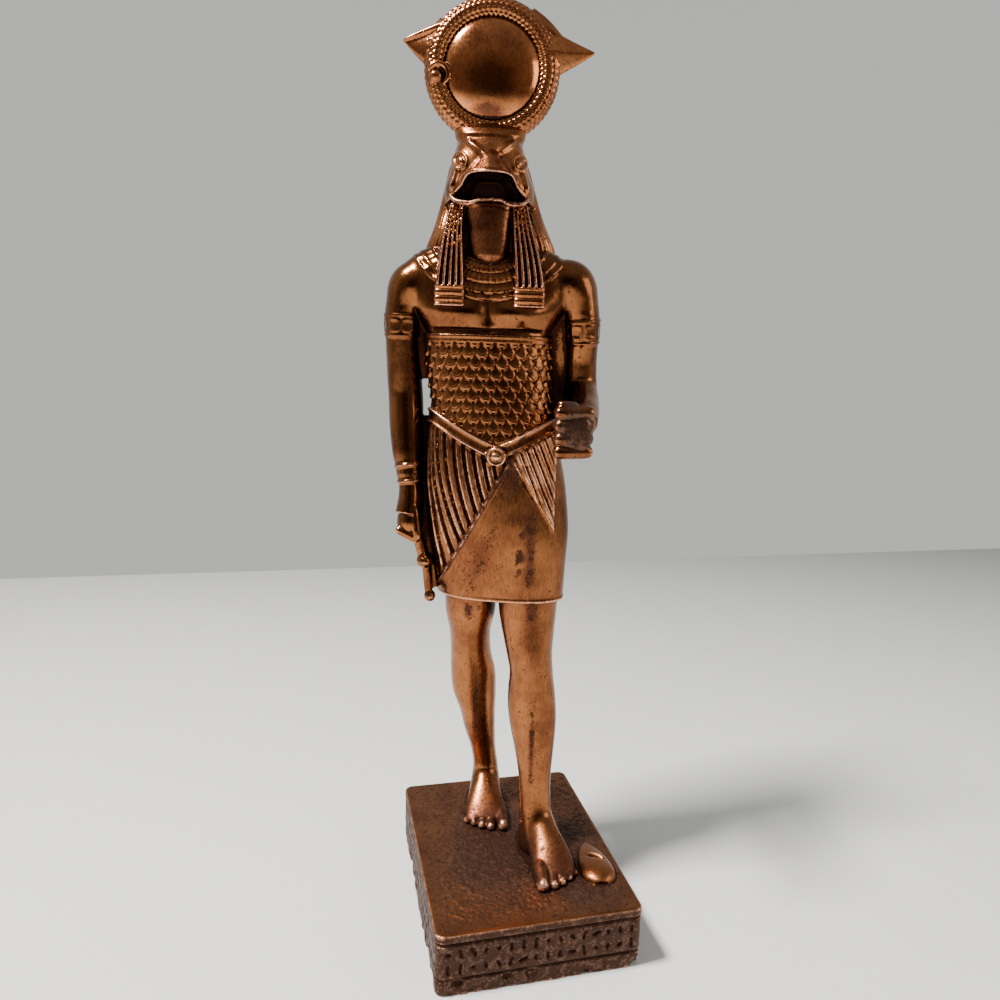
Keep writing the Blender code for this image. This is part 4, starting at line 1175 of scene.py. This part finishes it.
def outline(step):
    """Points round the plinth, the way out at each, its face and the distance along that face."""
    half_w = 0.5 * PLINTH_WIDTH - PLINTH_CORNER
    half_d = 0.5 * PLINTH_DEPTH - PLINTH_CORNER
    points, ways, faces, along = [], [], [], []
    for face in range(4):
        long_half, far = (half_w, half_d) if face % 2 == 0 else (half_d, half_w)
        turn = face * pi / 2.0
        ahead, out = np.array([cos(turn), sin(turn)]), np.array([sin(turn), -cos(turn)])
        for s in np.arange(-long_half, long_half, step):
            points.append(s * ahead + (far + PLINTH_CORNER) * out)
            ways.append(out)
            faces.append(face)
            along.append(s)
        centre = long_half * ahead + far * out
        for a in np.arange(0.0, pi / 2.0, step / PLINTH_CORNER):
            way = cos(a) * out + sin(a) * ahead
            points.append(centre + PLINTH_CORNER * way)
            ways.append(way)
            faces.append(face)
            along.append(long_half + PLINTH_CORNER * a)
    return np.array(points), np.array(ways), np.array(faces), np.array(along)


# %% The strokes of the frieze
def stroke(dx, dz, tilt, length):
    """1 inside one tilted stroke, dx and dz from its middle, with soft edges."""
    up = dz * cos(tilt) + dx * sin(tilt)
    off = dx * cos(tilt) - dz * sin(tilt)
    outside = np.maximum(np.abs(up) - 0.5 * length, np.abs(off) - 0.5 * STROKE_WIDTH)
    return 1.0 - ramp(-0.12, 0.12, outside)


def stroke_depth(faces, along, z):
    """How deep the strokes cut at each point of one level ring."""
    depth = np.zeros(len(along))
    for face in range(4):
        side = PLINTH_WIDTH if face % 2 == 0 else PLINTH_DEPTH
        span = side - 2.0 * PLINTH_CORNER - STROKE_MARGIN
        count = int(span / STROKE_PITCH)
        for row in range(2):
            height = mix(FRIEZE_LOW, FRIEZE_HIGH, 0.27 + 0.46 * row)
            if abs(z - height) > max(STROKE_LENGTHS):
                continue
            for k in range(count + 1):
                centre = (k - 0.5 * count) * span / count
                tilt = STROKE_TILTS[(k * 5 + row * 2 + face) % len(STROKE_TILTS)]
                length = STROKE_LENGTHS[(k * 3 + row * 2 + face) % len(STROKE_LENGTHS)]
                length = length * (1.0 - 0.25 * abs(sin(tilt)))
                cut = stroke(along - centre, z - height, tilt, length)
                depth = np.maximum(depth, (faces == face) * cut)
    return depth * STROKE_DEPTH


# %% The plinth, ring by ring
def plinth():
    points, ways, faces, along = outline(0.2)
    rings = []
    for z in np.linspace(0.01, PLINTH_HEIGHT, 130):
        spots = np.stack([points[:, 0], points[:, 1], np.full(len(points), z)], axis=1)
        groove = (band(STEP_HEIGHT, FRIEZE_LOW, 0.15, z)
                  + band(FRIEZE_HIGH, FRIEZE_HIGH + GROOVE_WIDTH, 0.15, z))
        frieze = band(FRIEZE_LOW, FRIEZE_HIGH, 0.1, z)
        ground = 0.14 + 0.07 * noise(spots, 0.7) + 0.04 * noise(spots, 1.6, 3.0)
        coarse = 0.26 + 0.22 * noise(spots, 2.2, 9.0) + 0.12 * noise(spots, 0.8, 2.0)
        chips = 0.5 * ramp(0.35, 0.6, noise(spots, 2.8, 17.0))
        step = (1.0 - ramp(STEP_HEIGHT - 0.2, STEP_HEIGHT, z)) * (np.maximum(coarse, 0.0) + chips)
        rise = max(z - PLINTH_HEIGHT + EDGE_ROUND, 0.0) / EDGE_ROUND
        edge = EDGE_ROUND * (1.0 - np.sqrt(max(1.0 - rise ** 2, 0.0)))
        from_chip = np.linalg.norm((spots - CHIP) / (4.0, 2.4, 2.1), axis=1)
        broken = 1.6 * (1.0 - ramp(0.5, 1.1, from_chip))
        carved = frieze * (ground + stroke_depth(faces, along, z))
        deep = np.maximum(0.7 * groove + carved + step + edge + broken, 0.03)
        rings.append(np.column_stack([points - ways * deep[:, None], spots[:, 2]]))
    return lofted(rings)


# %% The pad beside the front foot
def staff_pad():
    rows = [(0.0, 19.0, -5.7, 15.0, 1.4, 1.1), (1.0, 18.9, -8.5, 15.2, 2.8, 1.5),
            (2.0, 18.7, -12.0, 15.4, 3.9, 1.9), (3.0, 18.4, -16.0, 15.5, 4.5, 2.3),
            (4.0, 18.0, -19.4, 15.4, 3.9, 2.1), (4.6, 17.8, -21.2, 15.1, 2.2, 1.5)]
    return limb(rows, 90, 90)


SLOT_CENTRE = np.array([19.2, -13.0])
SLOT_TURN = radians(-35.0)


def from_edge(points):
    """How far a place on the slab lies from its nearest edge."""
    return np.minimum(0.5 * PLINTH_WIDTH - np.abs(points[:, 0]),
                      0.5 * PLINTH_DEPTH - np.abs(points[:, 1]))


def plinth_roughness(points, normals):
    """Grain on the slab, and the pad's dark slot."""
    top = ramp(0.6, 0.95, normals[:, 2]) * (points[:, 2] > PLINTH_HEIGHT - 0.6)
    grain = 0.13 * noise(points, 0.6) + 0.03 * noise(points, 1.3, 5.0)
    d = points[:, :2] - SLOT_CENTRE
    along = d[:, 0] * cos(SLOT_TURN) + d[:, 1] * sin(SLOT_TURN)
    across = d[:, 1] * cos(SLOT_TURN) - d[:, 0] * sin(SLOT_TURN)
    slot = 1.0 - ramp(0.6, 1.1, np.hypot(along / 2.6, across / 1.2))
    grained = grain * ramp(1.5, 5.0, from_edge(points)) * (points[:, 2] < PLINTH_HEIGHT + 0.2)
    return top * grained - 0.9 * slot * (points[:, 2] > PLINTH_HEIGHT + 0.3)


base = fused("plinth_and_pad", [plinth(), staff_pad()], PLINTH_PLACE, 0.26)

# %% [markdown]
# ## Casting marks
# Before plating, the casting had pits and fine ripples, and a file had smoothed its shoulders and
# ankles. The smallest marks are left to the shader's bump. Larger ones are in the skin, as a trace
# of unevenness everywhere.

# %% Uneven skin, and where a file smoothed it
def cast_skin(points, normals):
    return 0.02 * noise(points, 2.6) + 0.012 * noise(points, 0.9, 4.0)


def melted_shoulders(points):
    """Outside the collar and above the armlets."""
    x, _, z = points.T
    side = np.abs(x - CHEST_X)
    return ramp(1.0, 1.08, collar_reach(side, z)) * ramp(153.0, 154.6, z) * (side > 12.0)


def melted_ankles(points):
    return 0.95 * band(21.0, 35.0, 3.0, points[:, 2])


# %% [markdown]
# ### Dull places
# The plating isn't equally bright all over. It is dull on the slab between the feet, on the
# plinth's sides, on the toes and the fist, and in a pitted patch down the apron. The same marks
# also paint shade in the mouth and along the apron's edge, and dark reflections down the apron and
# at the foot of the disc. Each piece but the corselet has a function that says how dull each point
# is, from 0 to 1.

# %% Dull places on the plinth
SLAB_SPOTS = ((6.0, -2.0, 8.0), (-5.0, -8.0, 11.0), (14.0, -20.0, 6.0), (-3.0, 8.0, 8.0),
              (12.0, -2.0, 8.0))     # x, y and radius


def plinth_stain(points, normals):
    """The slab is dullest round the feet and bright at its edge. The pad is bright."""
    dark = 0.0
    for x, y, radius in SLAB_SPOTS:
        away = np.linalg.norm(points - (x, y, PLINTH_HEIGHT), axis=1)
        dark = dark + np.exp(-(away / radius) ** 2)
    above = points[:, 2] > PLINTH_HEIGHT + 0.2
    flat = ramp(0.6, 0.95, normals[:, 2]) * (points[:, 2] < PLINTH_HEIGHT + 0.2)
    top = (0.42 + 0.58 * np.minimum(dark, 1.0)) * ramp(0.2, 1.6, from_edge(points))
    return np.where(flat > 0.5, top, np.where(above, 0.0, 1.0))


# %% Dull places on the kilt, and painted shade on the kilt and in the mouth
def kilt_stain(points, normals):
    """A painted shadow along the apron's edge, a pitted patch, a painted dark reflection
    down the apron, and its top.
    """
    x, y, z = points.T
    edge = apron_edge(z)
    # Painted shadow under the apron's folded edge.
    painted_edge_shadow = band(edge - 0.2, edge + 1.1, 0.3, x) * (y < 0.0) * ramp(82.0, 84.0, z)
    patch = bump(x + 8.0 - 0.25 * (z - 89.0), 0.0, 2.4) * bump(z, 92.0, 10.0)
    # A painted dark reflection, streaking down the apron.
    painted_reflection_streak = bump(x, 5.4, 1.7) * band(85.0, 108.0, 4.0, z) * 0.7
    pitted = bump(x, 3.0 + 0.06 * (z - 95.0), 0.9) * band(86.0, 103.0, 3.0, z)
    pitted = pitted * ramp(-0.2, 0.3, noise(points, 1.4))
    apex = bump(x, -0.5, 3.2) * bump(z, 113.5, 5.5) * 0.7
    return 0.7 * painted_edge_shadow + (0.45 * patch + painted_reflection_streak + 0.9 * pitted + apex) * (y < 0.0)


def head_stain(points, normals):
    """Painted shade inside the mouth, and dull on the throat."""
    x, y, z = points.T
    side = np.abs(x - HEAD_X)
    arch = mouth_arch(side)
    # Painted shade in the hollow of the mouth.
    mouth = (1.0 - ramp(arch - 0.7, arch - 0.2, z)) * ramp(CHIN - 0.4, CHIN, z)
    mouth = mouth * (1.0 - ramp(8.0, 9.5, side))
    throat_side = (1.0 - ramp(CHIN - 1.5, CHIN, z)) * (1.0 - ramp(5.4, 6.0, side)) * 0.45
    return np.maximum(0.75 * mouth, throat_side) * (y < 0.0)


# %% Dull places on the fist, the crown and the legs, and a painted reflection on the disc
def arm_stain(points, normals):
    """The fist is dull and dark."""
    fist = np.linalg.norm((points - (13.4, -21.5, 127.0)) / (6.5, 6.0, 8.0), axis=1)
    return 0.75 * (1.0 - ramp(0.7, 1.1, fist))


def crown_stain(points, normals):
    """The coil and the points are browner than the disc, and a dark reflection is painted
    at the foot of the disc.
    """
    x, y, z = points.T
    away = np.hypot(x - DISC_X, z - DISC_Z)
    # A painted dark reflection at the foot of the disc.
    foot = bump(x, DISC_X - 0.5, 4.5) * bump(z, 199.2, 2.0) * (y < 0.0) * (away < DISC_RADIUS)
    return 0.42 * ramp(DISC_RADIUS - 0.2, DISC_RADIUS + 0.6, away) + 0.8 * foot


LEG_SPOTS = ((-9.8, 77.0, 1.4, 3.0), (6.4, 79.0, 1.8, 3.6), (7.6, 43.0, 0.8, 10.0),
             (-7.2, 46.0, 0.9, 15.0))     # x, height, half width and half length


def leg_stain(points, normals):
    """Blotches and streaks on the shins, and dull toes."""
    x, y, z = points.T
    spots = sum(bump(x, at, wide) * bump(z, height, tall) for at, height, wide, tall in LEG_SPOTS)
    return 0.8 * spots * (normals[:, 1] < 0.0) + 0.7 * (1.0 - ramp(15.0, 30.0, z))


# %% Finish the seven skins
pieces = [
    finished(kilt_skin, PLACE, 140000, cast_skin, stain=kilt_stain),
    finished(corselet_skin, PLACE, 130000, cast_skin),
    finished(chest_and_arms, PLACE, 165000, cast_skin, melted_shoulders, arm_stain),
    finished(head_and_wig, PLACE, 190000, cast_skin, stain=head_stain),
    finished(crown_piece, PLACE, 125000, stain=crown_stain),
    finished(legs_and_feet, PLACE, 80000, cast_skin, melted_ankles, leg_stain),
    finished(base, PLINTH_PLACE, 150000, plinth_roughness, stain=plinth_stain),
]

# %% [markdown]
# ## The copper
# The plating is a bright, warm copper under clear lacquer. It was darkened with a brown oxide and
# wiped back, so the oxide stays in grooves, in pits and in a few streaks, and the ridges are paler.
# The oxide's dark colour is also painted into shut-in places, such as the armpits, as shade.
# The shader is written as arithmetic on sockets, which a small class makes possible: it adds a Math
# node for each sum. Colours never go through a Math node, which would turn them grey.

# %% A socket that can be used in sums
class Wire:
    """A node's output that can be used in sums, with numbers or other wires."""

    def __init__(self, shader, socket):
        self.shader = shader
        self.socket = socket

    def sum(self, operation, a, b):
        return self.shader.node("Math", {"operation": operation}, {0: a, 1: b})

    def __add__(self, other):
        return self.sum("ADD", self, other)

    def __sub__(self, other):
        return self.sum("SUBTRACT", self, other)

    def __mul__(self, other):
        return self.sum("MULTIPLY", self, other)

    def __rsub__(self, other):
        return self.sum("SUBTRACT", other, self)

    __radd__ = __add__
    __rmul__ = __mul__


# %% [markdown]
# Every node comes from one method. It takes the node's kind, its settings, which are set first,
# and the values or wires of its sockets.

# %% A material's nodes
class Shader:
    """The nodes of a material or of the world, made by one method."""

    def __init__(self, owner, surface="Principled BSDF"):
        owner.use_nodes = True
        self.tree = owner.node_tree
        self.surface = self.tree.nodes[surface]

    def node(self, kind, settings=None, inputs=None, output=0):
        node = self.tree.nodes.new("ShaderNode" + kind)
        for key, value in (settings or {}).items():
            setattr(node, key, value)
        for key, value in (inputs or {}).items():
            self.feed(node.inputs[key], value)
        return Wire(self, node.outputs[output])

    def feed(self, socket, value):
        if isinstance(value, Wire):
            self.tree.links.new(value.socket, socket)
        elif socket.type == "RGBA":
            socket.default_value = (*value, 1.0)
        else:
            socket.default_value = value

    def set(self, **values):
        """Feeds the surface's own sockets. Base_Color stands for Base Color."""
        for key, value in values.items():
            self.feed(self.surface.inputs[key.replace("_", " ")], value)

    def place(self):
        """Where each spot is, in metres."""
        return self.node("TexCoord", {}, {}, 3)

    def mark(self, name):
        """One of the four numbers that each skin carries."""
        return self.node("Attribute", {"attribute_name": name}, {}, 2)

    def noise(self, where, size, detail=3.0, rough=0.55):
        """Noise with features of about the given size in millimetres."""
        inputs = {"Vector": where, "Scale": 1.0 / (size * MM), "Detail": detail, "Roughness": rough}
        return self.node("TexNoise", {}, inputs)

    def step(self, value, low, high):
        """A soft step from 0 to 1 between low and high."""
        settings = {"interpolation_type": "SMOOTHSTEP"}
        return self.node("MapRange", settings, {"Value": value, "From Min": low, "From Max": high})

    def blend(self, a, b, factor):
        """A colour between a and b."""
        return self.node("Mix", {"data_type": "RGBA"}, {0: factor, 6: a, 7: b}, 2)

    def scaled(self, vector, scale):
        """A place or a colour, each part times its own number."""
        return self.node("VectorMath", {"operation": "MULTIPLY"}, {0: vector, 1: scale})


print("shader arithmetic is ready")

# %% [markdown]
# The colours are the plating's own, as light bounces off it: a pale salmon where it is rubbed, a
# warm orange for most of it, a redder brown where the lacquer is thick, and a nearly black oxide.
# Dull places are maroon on the kilt, the head and the legs, and a greyer brown on the fist and the
# plinth. Some colours also stand for light: the oxide's paints shade into shut-in places, maroon
# paints shade in the mouth and along the apron's edge and dark reflections on the apron and the
# disc, and the chest and arms are made darker partly as painted shade. One function makes all the
# finishes, because every piece is the same plating: only how pale, glossy, rubbed and dark in its
# hollows it is differs.

# %% The colours of the plating
SALMON = (0.74, 0.37, 0.23)
ORANGE = (0.54, 0.20, 0.07)
RUSSET = (0.22, 0.068, 0.028)
# A nearly black oxide, whose colour also paints the shade in shut-in places.
OXIDE_AND_SHADE = (0.030, 0.009, 0.004)
DULL = (0.075, 0.042, 0.030)
# Maroon for dull patches, and for the painted shade in the mouth and along the apron's edge and the
# painted dark reflections on the apron and the disc.
MAROON = (0.085, 0.024, 0.012)
print("from the darkest, oxide", OXIDE_AND_SHADE, "to the palest, salmon", SALMON)

# %% The copper finish
# How far the marks of brushing are drawn out in height: the less the third number, the longer.
EVEN, BRUSHED, HAIRLINES = (1.0, 1.0, 1.0), (1.0, 1.0, 0.3), (1.0, 1.0, 0.12)


def copper(name, light, rough, worn, dirt_and_shade, grain=0.35, streaks=BRUSHED, pitted=0.7,
           dull_tone=MAROON):
    """The plating: how pale and how rough it is, how rubbed its ridges, how dark its oxide and
    painted shade.
    """
    material = bpy.data.materials.new(name)
    s = Shader(material)
    where = s.place()
    groove, crest, shade, stain = map(s.mark, ("groove", "crest", "shade", "stain"))
    cloud = s.noise(where, 11.0, 3.0)
    patch = s.noise(where, 2.2, 5.0, 0.62)
    speck = s.noise(where, 0.6, 3.0, 0.6)
    brush = s.noise(s.scaled(where, streaks), 0.3, 2.0)
    # Oxide in the grooves, and painted shade where the shade mark says a place is shut in.
    held = groove * 1.25 + shade * 0.95 + (patch - 0.5) * 0.5 + (speck - 0.5) * 0.6
    oxide_and_shade = s.step(held, 0.62 - dirt_and_shade, 1.0 - dirt_and_shade)
    pits = s.step(speck + (patch - 0.5) * 0.9 + stain * 0.25, 0.66, 0.72)
    scratch = s.step(brush, 0.60, 0.72) * 0.35
    marked = pits * pitted + scratch * 0.6
    dark = s.node("Math", {"operation": "MAXIMUM"}, {0: oxide_and_shade, 1: marked})
    tone = s.blend(RUSSET, ORANGE, s.step(cloud * 0.5 + brush * 0.3 + patch * 0.2, 0.35, 0.63))
    tone = s.scaled(tone, (light, light, light))
    # Dull patches, together with the painted shade and painted reflections carried by the same mark.
    dull = s.step(stain + (patch - 0.5) * 0.5 + (speck - 0.5) * 0.3, 0.15, 0.72)
    tone = s.blend(tone, dull_tone, dull * 0.85)
    tone = s.blend(tone, SALMON, s.step(crest + (brush - 0.5) * 0.4, 0.75 - worn, 1.15 - worn))
    s.set(Base_Color=s.blend(tone, OXIDE_AND_SHADE, dark), Metallic=1.0 - dull * 0.15,
          Roughness=dark * 0.20 + dull * 0.15 + (brush - 0.5) * 0.12 + rough)
    height = speck * 0.6 + brush * 0.4 - dark * 0.5
    s.set(Normal=s.node("Bump", {}, {"Strength": grain, "Distance": 0.05 * MM, "Height": height}))
    return material


# %% One finish for each piece
FINISHES = {
    "kilt_and_belt": copper("kilt_copper", 0.57, 0.27, 0.38, 0.16, streaks=HAIRLINES),
    "corselet": copper("corselet_copper", 0.62, 0.24, 0.08, 0.18),
    # The chest and arms are darker, partly as painted shade for the dark reflections on the chest.
    "chest_and_arms": copper("chest_copper", 0.50, 0.17, 0.06, 0.11, dull_tone=DULL),
    "head_and_wig": copper("head_copper", 0.92, 0.22, 0.18, 0.16),
    "sun_crown": copper("crown_copper", 1.35, 0.14, 0.04, 0.14, 0.2, pitted=0.2),
    "legs_and_feet": copper("leg_copper", 0.62, 0.25, 0.10, 0.07, streaks=HAIRLINES),
    "plinth_and_pad": copper("plinth_copper", 0.60, 0.32, 0.16, 0.16, 0.6, EVEN, dull_tone=DULL),
}

# %% Put the finishes on the skins
for piece in pieces:
    piece.data.materials.clear()
    piece.data.materials.append(FINISHES[piece.name])
    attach(piece, "root")
    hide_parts(NODE)
print(len(pieces), "skins carry the finish")

# %% [markdown]
# ## The studio
# A pale floor, a soft pale room, and one strong, broad lamp high at the left, as the shadow in the
# photograph says. Polished copper mostly shows the room: its bright sides come from the pale walls,
# and the dark middle of each rounded form from the darker place that the viewer stands in.

# %% The floor
FLOOR_HALF = 1.2
FLOOR_BACK = 0.33         # its far edge, a third of a metre behind the statuette


def pale_floor():
    corners = [(-FLOOR_HALF, -FLOOR_HALF), (FLOOR_HALF, -FLOOR_HALF),
               (FLOOR_HALF, FLOOR_BACK), (-FLOOR_HALF, FLOOR_BACK)]
    mesh = mesh_of("floor", *lofted([[(x, y, z) for x, y in corners] for z in (-0.004, 0.0)]))
    floor = bpy.data.objects.new("floor", mesh)
    bpy.context.scene.collection.objects.link(floor)
    material = bpy.data.materials.new("pale_floor")
    s = Shader(material)
    where = s.place()
    pale = s.blend((0.78, 0.79, 0.78), (0.83, 0.84, 0.83), s.noise(where, 60.0))
    s.set(Base_Color=pale, Roughness=0.7)
    mesh.materials.append(material)
    return floor


pale_floor()

# %% The lamps and the room's light
def lamp(name, place, size, power, colour=(1.0, 0.97, 0.93)):
    light = bpy.data.lights.new(name, "AREA")
    light.energy, light.size, light.color = power, size, colour
    obj = bpy.data.objects.new(name, light)
    aim = Vector((0.0, 0.0, 0.12)) - Vector(place)
    obj.matrix_world = Matrix.Translation(place) @ aim.to_track_quat("-Z", "Y").to_matrix().to_4x4()
    bpy.context.scene.collection.objects.link(obj)


lamp("key_lamp", (-0.40, -0.04, 0.78), 0.13, 18.5)
lamp("side_lamp", (0.55, -0.30, 0.35), 0.35, 1.2)


def room_light():
    """Pale walls, a dimmer ceiling, and a dark place in front, where the viewer stands."""
    world = bpy.data.worlds.new("room")
    bpy.context.scene.world = world
    s = Shader(world, "Background")
    way = s.node("TexCoord")
    ahead = s.node("VectorMath", {"operation": "DOT_PRODUCT"}, {0: way, 1: (-0.22, -0.97, 0.05)}, 1)
    height = s.node("SeparateXYZ", {}, {0: way}, 2)
    viewer = s.blend((0.17, 0.135, 0.11), (0.03, 0.02, 0.016), s.step(ahead, 0.84, 0.99))
    walls = s.blend((0.575, 0.585, 0.555), viewer, s.step(ahead, 0.10, 0.75))
    s.set(Color=s.blend(walls, (0.30, 0.30, 0.29), s.step(height, 0.35, 0.85)))


room_light()
print("two lamps and a pale room")

# %% [markdown]
# ## The camera
# It stands close, a little to the left and above the middle, and looks down by about ten degrees.

# %% The camera at the photograph's place
PICTURE_WIDTH = 1000.0    # pixels
CAMERA_PLACE = Vector((-48.887, -175.955, 141.325)) * MM
CAMERA_YAW, CAMERA_PITCH, CAMERA_ROLL = radians(13.680), radians(-10.347), radians(1.904)
CAMERA_FOCUS = 753.59     # pixels
SENSOR = 36.0             # millimetres
ahead = Vector((sin(CAMERA_YAW) * cos(CAMERA_PITCH), cos(CAMERA_YAW) * cos(CAMERA_PITCH),
                sin(CAMERA_PITCH)))
level = ahead.cross(Vector((0.0, 0.0, 1.0))).normalized()
upward = level.cross(ahead)
across = cos(CAMERA_ROLL) * level + sin(CAMERA_ROLL) * upward
up = -sin(CAMERA_ROLL) * level + cos(CAMERA_ROLL) * upward
camera = bpy.data.objects.new("camera", bpy.data.cameras.new("camera"))
camera.data.sensor_width = SENSOR
camera.data.lens = CAMERA_FOCUS * SENSOR / PICTURE_WIDTH
camera.data.clip_start = 0.01
turned = Matrix((across, up, -ahead)).transposed().to_4x4()
camera.matrix_world = Matrix.Translation(CAMERA_PLACE) @ turned
bpy.context.scene.collection.objects.link(camera)
bpy.context.scene.camera = camera
print("the camera stands", round(CAMERA_PLACE.length / MM), "mm from the plinth's foot")
